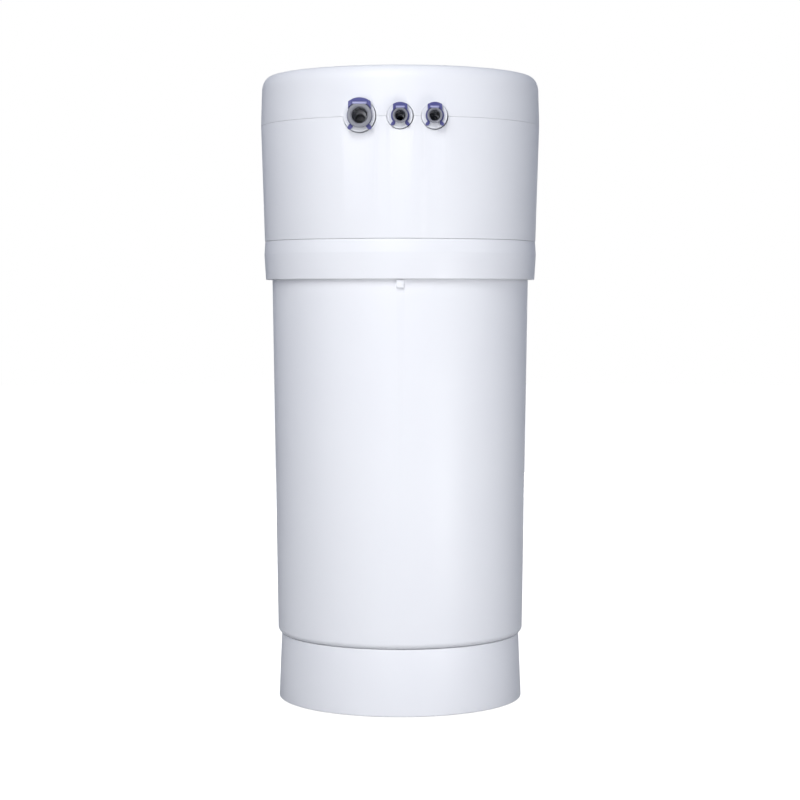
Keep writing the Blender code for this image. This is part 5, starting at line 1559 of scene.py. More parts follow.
@dataclass
class PortBlock:
    """The block that carries the three barrels, with its pipe, post and water ways."""

    boss_face: float = 0.0925
    bar_front: float = 0.0620
    bar_back: float = 0.0500
    bar_half: float = 0.0105
    end_wall: float = 0.00085
    lean: float = 0.0002
    elbow: float = 0.0090
    pipe: float = 0.0065
    pipe_foot: float = 0.0150
    post: float = 0.0050
    post_foot: float = 0.0120
    post_x: float = 0.0260

    def build(self) -> None:
        """Model and dress the block."""
        left = LARGE_PORT.across - LARGE_PORT.hole - self.end_wall
        right = RIGHT_PORT.across + RIGHT_PORT.hole + self.end_wall
        low = (left, -self.bar_front, PORT_Z - self.bar_half)
        high = (right, -self.bar_back, PORT_Z + self.bar_half)
        bar = block("bar", low, high, FULL)
        middle = (self.bar_front + self.bar_back) / 2
        for port in PORTS:
            barrel = turn("barrel", rod(port.hole - 0.00035, middle, self.boss_face, SLIGHT))
            leaning = lay_forward(barrel, port.across - self.lean, PORT_Z + self.lean / 2)
            work(bar, leaning, Joining.JOIN)
        elbow = turn("elbow", rod(self.elbow, 0.0380, middle, ROUND), SMALL_STEPS)
        work(bar, lay_forward(elbow, LARGE_PORT.across), Joining.JOIN)
        self.upright(bar, self.pipe, self.pipe_foot, (LARGE_PORT.across, FEED_Y))
        self.upright(bar, self.post, self.post_foot, (self.post_x, -middle))
        for port in PORTS:
            work(bar, self.way(port, middle), Joining.CUT)
        feed = turn("feed", rod(FEED_BORE, 0.3090, PORT_Z), SMALL_STEPS)
        work(bar, place_at(feed, (LARGE_PORT.across, FEED_Y, 0.0)), Joining.CUT)
        outlet = turn("outlet", rod(WATER_WAY, 0.0490, middle), SMALL_STEPS)
        work(bar, lay_forward(outlet), Joining.CUT)
        drill(bar, PILOT, 0.3090, 0.3155, BLOCK_SCREWS)
        dressed(bar, "barrel_block", WHITE_BLOCK, "head", "port_block")

    def upright(self, bar: Object, radius: float, foot: float, spot: tuple[float, float]) -> None:
        """Join an upright pipe with its round foot to the bar.

        Args:
            bar: The bar.
            radius: The pipe's radius.
            foot: The foot's radius.
            spot: The pipe's x and y.
        """
        top = ON_HEAD_Z + 0.0040
        corners = [
            (0.0, PORT_Z),
            (radius, PORT_Z),
            (radius, top, 0.0015),
            (foot, top, SOFT),
            (foot, ON_HEAD_Z),
            (0.0, ON_HEAD_Z),
        ]
        pipe = turn("pipe", corners, SMALL_STEPS)
        work(bar, place_at(pipe, (*spot, 0.0), 0.04), Joining.JOIN)

    def way(self, port: PortPlace, middle: float) -> Object:
        """Model the stepped bore of a port.

        Args:
            port: The port.
            middle: The distance of the bar's middle from the axis.

        Returns:
            The cutter.
        """
        seat = port.barrel + 0.0026
        chamber = port.bore + 0.0007 + 2 * port.cord
        socket = port.bore + 0.0002
        narrow, back = (FEED_BORE, -FEED_Y) if port is LARGE_PORT else (0.0024, middle - 0.0024)
        steps = (
            (seat, BEFORE_SHELL, 0.0797),
            (chamber, 0.0797, 0.0763),
            (socket, 0.0763, 0.0661),
            (narrow, 0.0661, back),
        )
        corners = [(0.0, BEFORE_SHELL), (0.0, back)]
        corners[1:1] = [(radius, end) for radius, *ends in steps for end in ends]
        return lay_forward(turn("way", corners), port.across)


# Fasteners and feet


def upright_box(node: str) -> tuple[float, float, float, float]:
    """Tell where a node of the frame stands.

    Args:
        node: The node.

    Returns:
        The x and y of its box's middle, its bottom and its top.
    """
    low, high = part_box(node)
    return (low[0] + high[0]) / 2, (low[1] + high[1]) / 2, low[2], high[2]


@dataclass
class PanScrew:
    """A pan-head screw with a cross recess and a ringed thread."""

    length: float
    head_radius: float = 0.0027
    head_height: float = 0.0023
    shank: float = 0.0015
    pitch: float = 0.0008

    def build(self) -> Object:
        """Model the screw, its head's top at the origin and its shank below.

        Returns:
            The screw.
        """
        neck = -self.head_height
        root = self.shank - 0.0003
        thread: list[Corner] = [(self.shank, neck), (self.shank, neck - 0.0020)]
        height = neck - 0.0024
        while height - self.pitch > 0.0012 - self.length:
            thread += [(root, height), (self.shank, height - self.pitch / 2)]
            height -= self.pitch
        corners = [
            (0.0, 0.0),
            (self.head_radius * 0.60, -0.00005),
            (self.head_radius * 0.88, -0.00045),
            (self.head_radius, -0.0012),
            (self.head_radius, neck, KEEN),
            *thread,
            (root, 0.0010 - self.length),
            (root * 0.4, -self.length),
            (0.0, -self.length),
        ]
        screw = turn("screw", corners, SCREW_STEPS, steps=3)
        for spin in (0.0, math.pi / 2):
            slot = block("slot", (-0.00165, -0.0003, -0.0013), (0.00165, 0.0003, 0.0004))
            work(screw, place_at(slot, ORIGIN, spin), Joining.CUT)
        return screw


@dataclass
class ScrewSet:
    """Screws of one length that stand alike."""

    name: str
    count: int
    body: str
    head_up: bool

    def build(self) -> None:
        """Model one screw, copy it to each place and dress the copies."""
        nodes = [f"{self.name}_{index + 1}" for index in range(self.count)]
        _, _, bottom, top = upright_box(nodes[0])
        pattern = PanScrew(top - bottom).build()
        for node in nodes:
            x, y, bottom, top = upright_box(node)
            spot = (x, y, top if self.head_up else bottom)
            screw = stand(copy_of(pattern, node), spot, self.head_up)
            dressed(screw, f"{node}_pan_head", SCREW_STEEL, self.body, node)
        bpy.data.objects.remove(pattern)


@dataclass
class RubberFeet:
    """Four round pads with a ringed sole."""

    radius: float = 0.0070
    height: float = 0.0027
    groove: float = 0.0005

    def build(self) -> None:
        """Model one pad, copy it to each place and dress the copies."""
        corners = [
            (0.0, self.height),
            (self.radius - 0.0008, self.height, FINE),
            (self.radius, self.height - 0.0010, SLIGHT),
            (self.radius, 0.0, 0.0007),
            (self.radius * 0.74, 0.0, KEEN),
            (self.radius * 0.70, self.groove, KEEN),
            (self.radius * 0.58, self.groove, KEEN),
            (self.radius * 0.54, 0.0, KEEN),
            (self.radius * 0.30, 0.0, KEEN),
            (self.radius * 0.26, self.groove),
            (0.0, self.groove),
        ]
        pattern = turn("pad", corners, SMALL_STEPS)
        for index in range(4):
            node = f"foot_{index + 1}"
            x, y, _, _ = upright_box(node)
            pad = place_at(copy_of(pattern, node), (x, y, 0.0))
            dressed(pad, f"rubber_pad_{index + 1}", BLACK_RUBBER, "vessel", node)
        bpy.data.objects.remove(pattern)


# Vessel and cartridge


@dataclass
class PressureVessel:
    """The vessel inside the shell, with its guide ring, screw bosses and neck lugs."""

    radius: float = 0.0740
    wall: float = 0.0050
    neck: float = 0.0700
    neck_bore: float = 0.0650
    bottom_z: float = 0.0471
    floor_z: float = 0.0626
    shoulder_z: float = 0.2620
    top_z: float = 0.3000
    bend: float = 0.0080
    ring_radius: float = 0.0813
    ring_top: float = 0.2540
    ring_height: float = 0.0035
    boss_radius: float = 0.0055
    lug_bottom: float = 0.27985
    lug_height: float = 0.0060
    lug_reach: float = 0.0035

    def build(self) -> None:
        """Model and dress the vessel."""
        inner = self.radius - self.wall
        under = self.floor_z - self.wall
        slope = self.radius - self.neck
        ring_low = self.ring_top - self.ring_height
        corners = [
            (0.0, self.floor_z),
            (inner, self.floor_z, self.bend),
            (inner, self.shoulder_z - slope, FULL),
            (self.neck_bore, self.shoulder_z, FULL),
            (self.neck_bore, self.top_z, EASY),
            (self.neck, self.top_z, EASY),
            (self.neck, self.shoulder_z + slope, FULL),
            (self.radius, self.shoulder_z, FULL),
            (self.radius, self.ring_top),
            (self.ring_radius, self.ring_top, SLIGHT),
            (self.ring_radius, ring_low, SLIGHT),
            (self.radius, ring_low),
            (self.radius, under, self.bend),
            (0.0, under),
        ]
        vessel = turn("vessel", corners, VESSEL_STEPS)
        for x, y, _ in BASE_SCREWS:
            profile = rod(self.boss_radius, self.bottom_z, under + OVERRUN, FINE)
            boss = place_at(turn("boss", profile, SMALL_STEPS), (x, y, 0.0), 0.05)
            work(vessel, boss, Joining.JOIN)
            drill(vessel, PILOT, 0.0460, 0.0567, [(x, y)])
        for _, _, angle in on_circle(3, self.neck):
            outer = self.neck + self.lug_reach
            lug = ramp("lug", self.neck - 0.0005, outer, self.lug_bottom, self.lug_height, 50.0)
            work(vessel, place_at(lug, ORIGIN, angle), Joining.JOIN)
        dressed(vessel, "moulded_vessel", PLAIN_MOULDING, "vessel", "pressure_vessel")


@dataclass
class Cartridge:
    """The cartridge: caps, pleated fleece, carbon, core tube and spigot seals."""

    cap_radius: float = 0.0600
    cap_wall: float = 0.0023
    cap_plate: float = 0.0040
    cap_rim: float = 0.0100
    bottom_z: float = 0.0629
    top_z: float = 0.2766
    core_low: float = 0.0672
    core_high: float = 0.2723
    sleeve: float = 0.0574
    sleeve_bore: float = 0.0553
    carbon: float = 0.0550
    carbon_bore: float = 0.0123
    core: float = 0.0120
    core_bore: float = 0.0096
    spigot: float = 0.0120
    spigot_bore: float = 0.0070
    spigot_top: float = 0.3000
    groove_depth: float = 0.0013
    groove_width: float = 0.0026
    groove_tops: tuple[float, float] = (0.2962, 0.2914)
    cord: float = 0.00105
    pleats: int = 120
    pleat_depth: float = 0.0016
    core_rings: int = 12
    ring_pitch: float = 0.0160

    def build(self) -> None:
        """Model and dress the cartridge's pieces."""
        self.bottom_cap()
        self.top_cap()
        self.fleece()
        self.carbon_and_core()
        self.seals()

    def bottom_cap(self) -> None:
        """Model the cap under the layers."""
        bore = self.cap_radius - self.cap_wall
        plate = self.bottom_z + self.cap_plate
        corners = [
            (0.0, plate),
            (bore, plate, FINE),
            (bore, plate + self.cap_rim, SLIGHT),
            (self.cap_radius, plate + self.cap_rim, SLIGHT),
            (self.cap_radius, self.bottom_z, FULL),
            (0.0, self.bottom_z),
        ]
        cap = turn("cap", corners, VESSEL_STEPS)
        self.dress(cap, "lower_end_cap", "cartridge_bottom_cap")

    def top_cap(self) -> None:
        """Model the cap over the layers, with its grooved spigot and its ribs."""
        bore = self.cap_radius - self.cap_wall
        plate = self.top_z - self.cap_plate
        grooves: list[Corner] = []
        for top in self.groove_tops:
            low = top - self.groove_width
            deep = self.spigot - self.groove_depth
            grooves += [(self.spigot, top), (deep, top), (deep, low), (self.spigot, low)]
        corners = [
            (self.spigot, self.spigot_top, SOFT),
            *grooves,
            (self.spigot, self.top_z, FULL),
            (self.cap_radius, self.top_z, FULL),
            (self.cap_radius, plate - self.cap_rim, SLIGHT),
            (bore, plate - self.cap_rim, SLIGHT),
            (bore, plate),
            (self.spigot_bore, plate),
            (self.spigot_bore, self.spigot_top, FINE),
        ]
        cap = turn("cap", corners, VESSEL_STEPS)
        for _, _, angle in on_circle(8, 1.0, 0.2):
            high = (0.0560, 0.0007, self.top_z + 0.0015)
            rib = block("rib", (0.0135, -0.0007, self.top_z - 0.0005), high, FINE)
            work(cap, place_at(rib, ORIGIN, angle), Joining.JOIN)
        self.dress(cap, "spigot_end_cap", "cartridge_top_cap")

    def fleece(self) -> None:
        """Model the fleece sleeve and fold it into pleats."""
        corners = [
            (self.sleeve, self.core_high, FINE),
            (self.sleeve, self.core_low, FINE),
            (self.sleeve_bore, self.core_low),
            (self.sleeve_bore, self.core_high),
        ]
        sleeve = turn("sleeve", corners, self.pleats * 2)
        valley = (self.sleeve - self.pleat_depth) / self.sleeve
        scale_corners(
            sleeve,
            valley,
            lambda spot: math.hypot(spot.x, spot.y) > self.sleeve - 0.0005
            and facet_of(spot, self.pleats * 2) % 2 == 0,
        )
        dressed(sleeve, "pleated_fleece", FLEECE, "cartridge", "prefilter_sleeve")

    def carbon_and_core(self) -> None:
        """Model the pressed carbon block and the ribbed core tube."""
        corners = [
            (self.carbon, self.core_high, ROUND),
            (self.carbon, self.core_low, ROUND),
            (self.carbon_bore, self.core_low, SLIGHT),
            (self.carbon_bore, self.core_high, SLIGHT),
        ]
        carbon = turn("carbon", corners, VESSEL_STEPS)
        dressed(carbon, "pressed_carbon_block", BLACK_CARBON, "cartridge", "carbon_block")
        rings: list[Corner] = []
        deep = self.core - 0.0006
        for index in reversed(range(self.core_rings)):
            low = self.core_low + 0.0120 + index * self.ring_pitch
            rings += [(self.core, low + 0.002), (deep, low + 0.0015)]
            rings += [(deep, low + 0.0005), (self.core, low)]
        corners = [
            (self.core, self.core_high, FINE),
            *rings,
            (self.core, self.core_low, FINE),
            (self.core_bore, self.core_low, FINE),
            (self.core_bore, self.core_high, FINE),
        ]
        self.dress(turn("core", corners, SMALL_STEPS), "ringed_core_tube", "core_tube")

    def seals(self) -> None:
        """Model the two spigot seals."""
        for index, top in enumerate(self.groove_tops):
            ring = self.spigot - self.groove_depth + 0.0003 + self.cord
            seal = cord_ring(ring, self.cord, top - self.groove_width / 2)
            node = f"spigot_seal_{index + 1}"
            dressed(seal, f"spigot_ring_{index + 1}", BLACK_RUBBER, "cartridge", node)

    def dress(self, piece: Object, name: str, node: str) -> None:
        """Finish a plain moulding of the cartridge.

        Args:
            piece: The piece.
            name: Its name.
            node: The node that it replaces.
        """
        dressed(piece, name, PLAIN_MOULDING, "cartridge", node)


# Head


@dataclass
class HeadBlock:
    """The block that closes the vessel: plug, skirt, lugs, ways and its seal."""

    top_z: float = 0.3100
    flange: float = 0.08685
    flange_low: float = 0.30375
    skirt: float = 0.0780
    skirt_bore: float = 0.0742
    skirt_low: float = 0.2720
    under: float = 0.3003
    plug: float = 0.0643
    plug_bore: float = 0.0580
    plug_low: float = 0.2870
    groove_top: float = 0.2948
    groove_width: float = 0.0036
    groove_depth: float = 0.0031
    roof: float = 0.3010
    hub: float = 0.0180
    spigot_bore: float = 0.0135
    spigot_roof: float = 0.3030
    treated_bore: float = 0.0090
    lug_bottom: float = 0.27455
    lug_height: float = 0.0050
    lug_reach: float = 0.0035
    seal_ring: float = 0.0632
    seal_cord: float = 0.0013
    spin: float = 0.02
    pocket_near: float = 0.0560
    pocket_far: float = 0.0715
    pocket_half: float = 0.0120
    pocket_depth: float = 0.0022
    pocket_start: float = -28.0
    pocket_pitch: float = 33.7

    def build(self) -> None:
        """Model and dress the block and its seal."""
        deep = self.plug - self.groove_depth
        groove_low = self.groove_top - self.groove_width
        corners = [
            (self.flange, self.top_z, SOFT),
            (self.flange, self.flange_low, SLIGHT),
            (self.skirt, self.flange_low, SOFT),
            (self.skirt, self.skirt_low, MILD),
            (self.skirt_bore, self.skirt_low, MILD),
            (self.skirt_bore, self.under, MILD),
            (self.plug, self.under),
            (self.plug, self.groove_top),
            (deep, self.groove_top),
            (deep, groove_low),
            (self.plug, groove_low),
            (self.plug, self.plug_low, FULL),
            (self.plug_bore, self.plug_low, SOFT),
            (self.plug_bore, self.roof, FULL),
            (self.hub, self.roof, FULL),
            (self.hub, self.plug_low, SOFT),
            (self.spigot_bore, self.plug_low, SOFT),
            (self.spigot_bore, self.spigot_roof),
            (self.treated_bore, self.spigot_roof),
            (self.treated_bore, self.top_z, EASY),
        ]
        head = turn("head", corners, VESSEL_STEPS)
        for _, _, angle in on_circle(3, self.skirt_bore):
            inner = self.skirt_bore - self.lug_reach
            outer = self.skirt_bore + 0.0005
            lug = ramp("lug", inner, outer, self.lug_bottom, self.lug_height, 46.0)
            work(head, place_at(lug, ORIGIN, angle), Joining.JOIN)
        over = self.top_z + OVERRUN
        drill(head, PILOT, 0.3030, over, HEAD_SCREWS, self.spin)
        drill(head, PILOT, 0.3037, over, BLOCK_SCREWS, self.spin)
        drill(head, FEED_BORE, 0.2860, over, [(LARGE_PORT.across, FEED_Y)], self.spin)
        self.pockets(head)
        dressed(head, "moulded_head_block", PLAIN_MOULDING, "head", "head_block")
        seal = cord_ring(self.seal_ring, self.seal_cord, self.groove_top - self.groove_width / 2)
        dressed(seal, "vessel_sealing_ring", BLACK_RUBBER, "head", "vessel_seal")

    def pockets(self, head: Object) -> None:
        """Cut shallow moulding pockets into the top, clear of the port block's feet.

        Args:
            head: The block.
        """
        low = (self.pocket_near, -self.pocket_half, self.top_z - self.pocket_depth)
        high = (self.pocket_far, self.pocket_half, self.top_z + OVERRUN)
        for index in range(8):
            angle = math.radians(self.pocket_start + index * self.pocket_pitch)
            pocket = block("pocket", low, high, MILD)
            work(head, place_at(pocket, ORIGIN, angle), Joining.CUT)


# Lamp


@dataclass
class LampStack:
    """The lamp chamber under its window, lamp board and finned heat sink."""

    flange: float = 0.0290
    chamber: float = 0.0205
    chamber_wall: float = 0.0035
    chamber_top: float = 0.3880
    window_low: float = 0.3883
    window_high: float = 0.3903
    window: float = 0.0210
    board_low: float = 0.3916
    board_high: float = 0.3932
    lamp_low: float = 0.3906
    lamp_half: float = 0.00175
    sink_low: float = 0.3935
    sink_plate: float = 0.0030
    sink_top: float = 0.4075
    fins: int = 6
    fin_width: float = 0.0016
    fin_span: float = 0.0330
    fin_length: float = 0.0380
    gusset_low: float = 0.3740
    gusset_far: float = 0.0270
    outlet: float = 0.0060
    outlet_end: float = 0.0294
    spin: float = 0.02

    def build(self) -> None:
        """Model and dress the stack's pieces."""
        self.water_chamber()
        self.lamp_window()
        self.lamp_board()
        self.heat_sink()

    def screw_holes(self, piece: Object, low: float, high: float) -> None:
        """Drill the three screw holes right through a piece.

        Args:
            piece: The piece.
            low: The height of its lower face.
            high: The height of its upper face.
        """
        drill(piece, PILOT, low - OVERRUN, high + OVERRUN, LAMP_SCREWS, self.spin)

    def water_chamber(self) -> None:
        """Model the chamber with its gussets and side outlet."""
        inner = self.chamber - self.chamber_wall
        flange_low = self.chamber_top - 0.0040
        floor = ON_HEAD_Z + 0.0035
        spigot, spigot_bore, spigot_low = 0.0087, 0.0061, ON_HEAD_Z - 0.0060
        corners = [
            (self.flange, self.chamber_top, SLIGHT),
            (self.flange, flange_low, SOFT),
            (self.chamber, flange_low, ROUND),
            (self.chamber, ON_HEAD_Z, SOFT),
            (spigot, ON_HEAD_Z),
            (spigot, spigot_low, EASY),
            (spigot_bore, spigot_low, FINE),
            (spigot_bore, floor, EASY),
            (inner, floor + 0.0025, FULL),
            (inner, self.chamber_top, SLIGHT),
        ]
        chamber = turn("chamber", corners, PORT_STEPS)
        for _, _, angle in on_circle(6, 1.0, 0.0):
            high = (self.gusset_far, 0.0008, flange_low + OVERRUN)
            gusset = block("gusset", (self.chamber - OVERRUN, -0.0008, self.gusset_low), high)
            lean = block("lean", (0.0205, -0.002, 0.3600), (0.0400, 0.002, 0.3745))
            lean.location = (0.0012, 0.0, -0.0005)
            work(gusset, settle(lean), Joining.CUT)
            soften_edges(gusset, FINE)
            work(chamber, place_at(gusset, ORIGIN, angle), Joining.JOIN)
        stub = turn("stub", rod(self.outlet, 0.01875, self.outlet_end, EASY), SMALL_STEPS)
        work(chamber, lay_forward(stub), Joining.JOIN)
        way = turn("way", rod(WATER_WAY, 0.0135, self.outlet_end + OVERRUN), SMALL_STEPS)
        work(chamber, lay_forward(way), Joining.CUT)
        self.screw_holes(chamber, flange_low, self.chamber_top)
        dressed(chamber, "treatment_chamber", PLAIN_MOULDING, "head", "lamp_chamber")

    def lamp_window(self) -> None:
        """Model the quartz window with ground edges."""
        pane = rod(self.window, self.window_low, self.window_high, SLIGHT)
        window = turn("window", pane, PORT_STEPS)
        dressed(window, "ground_quartz_window", CLEAR_QUARTZ, "head", "lamp_window")

    def lamp_board(self) -> None:
        """Model the round board and the lamp under it."""
        disc = rod(self.flange, self.board_low, self.board_high, BURR)
        board = turn("board", disc, PORT_STEPS)
        self.screw_holes(board, self.board_low, self.board_high)
        dressed(board, "round_lamp_board", BOARD_GREEN, "head", "lamp_board")
        half = self.lamp_half
        lamp = block("lamp", (-half, -half, self.lamp_low), (half, half, self.board_low), KEEN)
        lens = turn("lens", rod(0.0013, self.lamp_low - 0.00005, self.board_low), SMALL_STEPS)
        work(lamp, lens, Joining.JOIN)
        dressed(lamp, "ultraviolet_lamp", LAMP_WHITE, "head")

    def heat_sink(self) -> None:
        """Model the plate and its fins."""
        plate_top = self.sink_low + self.sink_plate
        disc = rod(self.flange, self.sink_low, plate_top, FINE)
        sink = turn("sink", disc, PORT_STEPS)
        pitch = (self.fin_span - self.fin_width) / (self.fins - 1)
        half = self.fin_length / 2
        high = (self.fin_width, half, self.sink_top)
        pattern = block("fin", (0.0, -half, plate_top - 0.0004), high, 0.0003, 2)
        for index in range(self.fins):
            spot = (index * pitch - self.fin_span / 2, 0.0, 0.0)
            work(sink, place_at(copy_of(pattern, "fin_copy"), spot), Joining.JOIN)
        bpy.data.objects.remove(pattern)
        self.screw_holes(sink, self.sink_low, plate_top)
        dressed(sink, "finned_heat_sink", ALUMINIUM, "head", "heat_sink")


# Flow sensor


@dataclass
class FlowSensor:
    """The drum with its lid, axle and bladed turbine."""

    x: float = -0.0035
    y: float = -0.0395
    low: float = 0.3738
    high: float = 0.3848
    radius: float = 0.0098
    wall: float = 0.0015
    axle: float = 0.0007
    lid_low: float = 0.3851
    lid_high: float = 0.3866
    rotor_low: float = 0.3756
    rotor_high: float = 0.3821
    rotor: float = 0.0076
    rotor_hub: float = 0.0022
    blades: int = 6
    stub: float = 0.0050
    stubs: tuple[tuple[float, float], ...] = ((0.0297, 0.0312), (0.0478, 0.0497))

    def build(self) -> None:
        """Model and dress the sensor's pieces."""
        spot = (self.x, self.y, 0.0)
        bore = self.radius - self.wall
        hole = self.axle + 0.0003
        corners = [
            (self.radius, self.high, FINE),
            (self.radius, self.low, SOFT),
            (hole, self.low, BURR),
            (hole, self.low + self.wall),
            (bore, self.low + self.wall, SLIGHT),
            (bore, self.high, KEEN),
        ]
        drum = place_at(turn("drum", corners, PORT_STEPS), spot)
        for back, front in self.stubs:
            stub = turn("stub", rod(self.stub, back, front, FINE), SMALL_STEPS)
            work(drum, lay_forward(stub), Joining.JOIN)
        cavity = turn("cavity", rod(bore, self.low + self.wall, self.high + OVERRUN), PORT_STEPS)
        work(drum, place_at(cavity, spot, 0.01), Joining.CUT)
        way = turn("way", rod(WATER_WAY, 0.0287, 0.0500), SMALL_STEPS)
        work(drum, lay_forward(way), Joining.CUT)
        dressed(drum, "sensor_drum", PLAIN_MOULDING, "head", "flow_sensor_body")
        spigot = bore - 0.0003
        under = self.lid_low - self.wall
        corners = [
            (self.radius, self.lid_high, EASY),
            (self.radius, self.lid_low, KEEN),
            (spigot, self.lid_low),
            (spigot, under, FINE),
            (hole, under),
            (hole, self.lid_high, KEEN),
        ]
        lid = place_at(turn("lid", corners, PORT_STEPS), spot)
        dressed(lid, "sensor_lid", PLAIN_MOULDING, "head", "flow_sensor_lid")
        axle = turn("axle", rod(self.axle, self.low, self.lid_high, KEEN), SCREW_STEPS)
        dressed(place_at(axle, spot), "steel_axle", SCREW_STEEL, "head", "turbine_axle")
        self.turbine(spot)

    def turbine(self, spot: Spot) -> None:
        """Model the bladed turbine.

        Args:
            spot: The place of its axle.
        """
        hole = self.axle + 0.0003
        corners = [
            (self.rotor_hub, self.rotor_high, FINE),
            (self.rotor_hub, self.rotor_low, FINE),
            (hole, self.rotor_low, BURR),
            (hole, self.rotor_high, BURR),
        ]
        rotor = turn("rotor", corners, SMALL_STEPS)
        low = (self.rotor_hub - 0.0003, -0.0004, self.rotor_low + 0.0001)
        high = (self.rotor, 0.0004, self.rotor_high - 0.0001)
        pattern = block("blade", low, high, KEEN)
        for _, _, angle in on_circle(self.blades, 1.0):
            work(rotor, place_at(copy_of(pattern, "blade_copy"), ORIGIN, angle), Joining.JOIN)
        bpy.data.objects.remove(pattern)
        dressed(place_at(rotor, spot), "bladed_turbine", TURBINE_BLUE, "turbine", "flow_turbine")


# Electronics


@dataclass
class ControlBoard:
    """The control board and the parts soldered to its inner face."""

    low: Spot = (-0.0320, 0.0684, 0.3220)
    high: Spot = (0.0320, 0.0700, 0.3680)
    pin: float = 0.0015
    leg_pitch: float = 0.0010
    chip_spots: tuple[Spot, ...] = ((-0.004, 0.343, 0.0090), (0.014, 0.356, 0.0060))
    can_spots: tuple[tuple[float, ...], ...] = (
        (-0.022, 0.346, 0.0040, 0.0100),
        (-0.022, 0.335, 0.0040, 0.0100),
        (0.024, 0.345, 0.0030, 0.0070),
    )
    connector_z: float = 0.3635

    def build(self) -> None:
        """Model and dress the board and its parts."""
        board = block("board", self.low, self.high, KEEN)
        for x, z in BOARD_PINS:
            hole = turn("hole", rod(self.pin, -0.0710, -0.0670), SCREW_STEPS)
            work(board, lay_forward(hole, x, z), Joining.CUT)
        dressed(board, "soldered_board", BOARD_GREEN, "head", "control_board")
        self.chips()
        self.capacitors()
        self.connector()
        self.small_parts()

    def standing(self, name: str, centre: tuple[float, float], size: Spot, edge: float) -> Object:
        """Model a box that stands on the board's inner face.

        Args:
            name: Its name.
            centre: Its x and z.
            size: Its width, its height off the board and its length.
            edge: The width of its rounding.

        Returns:
            The box.
        """
        x, z = centre
        face = self.low[1]
        low = (x - size[0] / 2, face - size[1], z - size[2] / 2)
        high = (x + size[0] / 2, face, z + size[2] / 2)
        return block(name, low, high, edge)

    def chips(self) -> None:
        """Model the two chips with their rows of legs."""
        for index, (x, z, side) in enumerate(self.chip_spots):
            chip = self.standing("chip", (x, z), (side, 0.0015, side), KEEN)
            dressed(chip, f"control_chip_{index + 1}", SOCKET_BLACK, "head")
            count = int(side / self.leg_pitch) - 1
            size = (side + 0.0022, 0.0005, 0.0004)
            legs = [
                self.standing("leg", (x, z + (n - (count - 1) / 2) * self.leg_pitch), size, 0.0)
                for n in range(count)
            ]
            dressed(gather(legs), f"chip_legs_{index + 1}", SCREW_STEEL, "head")

    def capacitors(self) -> None:
        """Model the three upright capacitors."""
        face = -self.low[1]
        for index, (x, z, radius, height) in enumerate(self.can_spots):
            top = face + height
            corners = [
                (0.0, top - 0.0003),
                (radius * 0.80, top - 0.0003),
                (radius * 0.86, top),
                (radius, top, EASY),
                (radius, face + 0.0020, FINE),
                (radius - 0.0004, face + 0.0016, FINE),
                (radius, face + 0.0012, FINE),
                (radius, face, FINE),
                (0.0, face),
            ]
            can = lay_forward(turn("can", corners, SMALL_STEPS), x, z)
            dressed(can, f"capacitor_{index + 1}", ALUMINIUM, "head")

    def connector(self) -> None:
        """Model the socket of the lamp's lead, with its pins."""
        size = (0.0160, 0.0070, 0.0055)
        shell = self.standing("shell", (0.004, self.connector_z), size, FINE)
        pocket = block("pocket", (-0.0030, 0.0600, 0.3617), (0.0110, 0.0660, 0.3653), KEEN)
        work(shell, pocket, Joining.CUT)
        dressed(shell, "board_connector", WHITE_BLOCK, "head")
        size = (0.0006, 0.0060, 0.0006)
        pins = [
            self.standing("pin", (-0.001 + 0.0025 * n, self.connector_z), size, 0.0)
            for n in range(5)
        ]
        dressed(gather(pins), "connector_pins", SCREW_STEEL, "head")

    def small_parts(self) -> None:
        """Model the rows of small resistors."""
        parts = []
        for row in range(3):
            for column in range(6):
                centre = (0.006 + 0.0034 * column, 0.3265 + 0.0030 * row)
                parts.append(self.standing("part", centre, (0.0018, 0.0006, 0.0010), BURR))
        dressed(gather(parts), "board_resistors", SOCKET_BLACK, "head")


@dataclass
class PowerSocket:
    """The low-voltage socket at the back, with its round bore and pin."""

    half: float = 0.0075
    near: float = 0.0703
    far: float = 0.09121
    low: float = 0.3260
    high: float = 0.3380
    bore: float = 0.0032
    depth: float = 0.0090
    pin: float = 0.0010

    def build(self) -> None:
        """Model and dress the socket and its pin."""
        middle = (self.low + self.high) / 2
        low, high = (-self.half, self.near, self.low), (self.half, self.far, self.high)
        socket = block("socket", low, high, SOFT)
        corners = [
            (0.0, 0.0010 - self.far - 0.0020),
            (self.bore + 0.0006, -self.far - 0.0001),
            (self.bore + 0.0006, -self.far),
            (self.bore, -self.far + 0.0006),
            (self.bore, -self.far + self.depth),
            (0.0, -self.far + self.depth),
        ]
        bore = turn("bore", corners, SMALL_STEPS)
        work(socket, lay_forward(bore, 0.0, middle), Joining.CUT)
        dressed(socket, "round_power_socket", SOCKET_BLACK, "head", "power_socket")
        profile = rod(self.pin, 0.0005 - self.far, self.depth - self.far, SLIGHT)
        pin = turn("pin", profile, SCREW_STEPS)
        lay_forward(pin, 0.0, middle)
        dressed(pin, "socket_centre_pin", SCREW_STEEL, "head")


# Studio


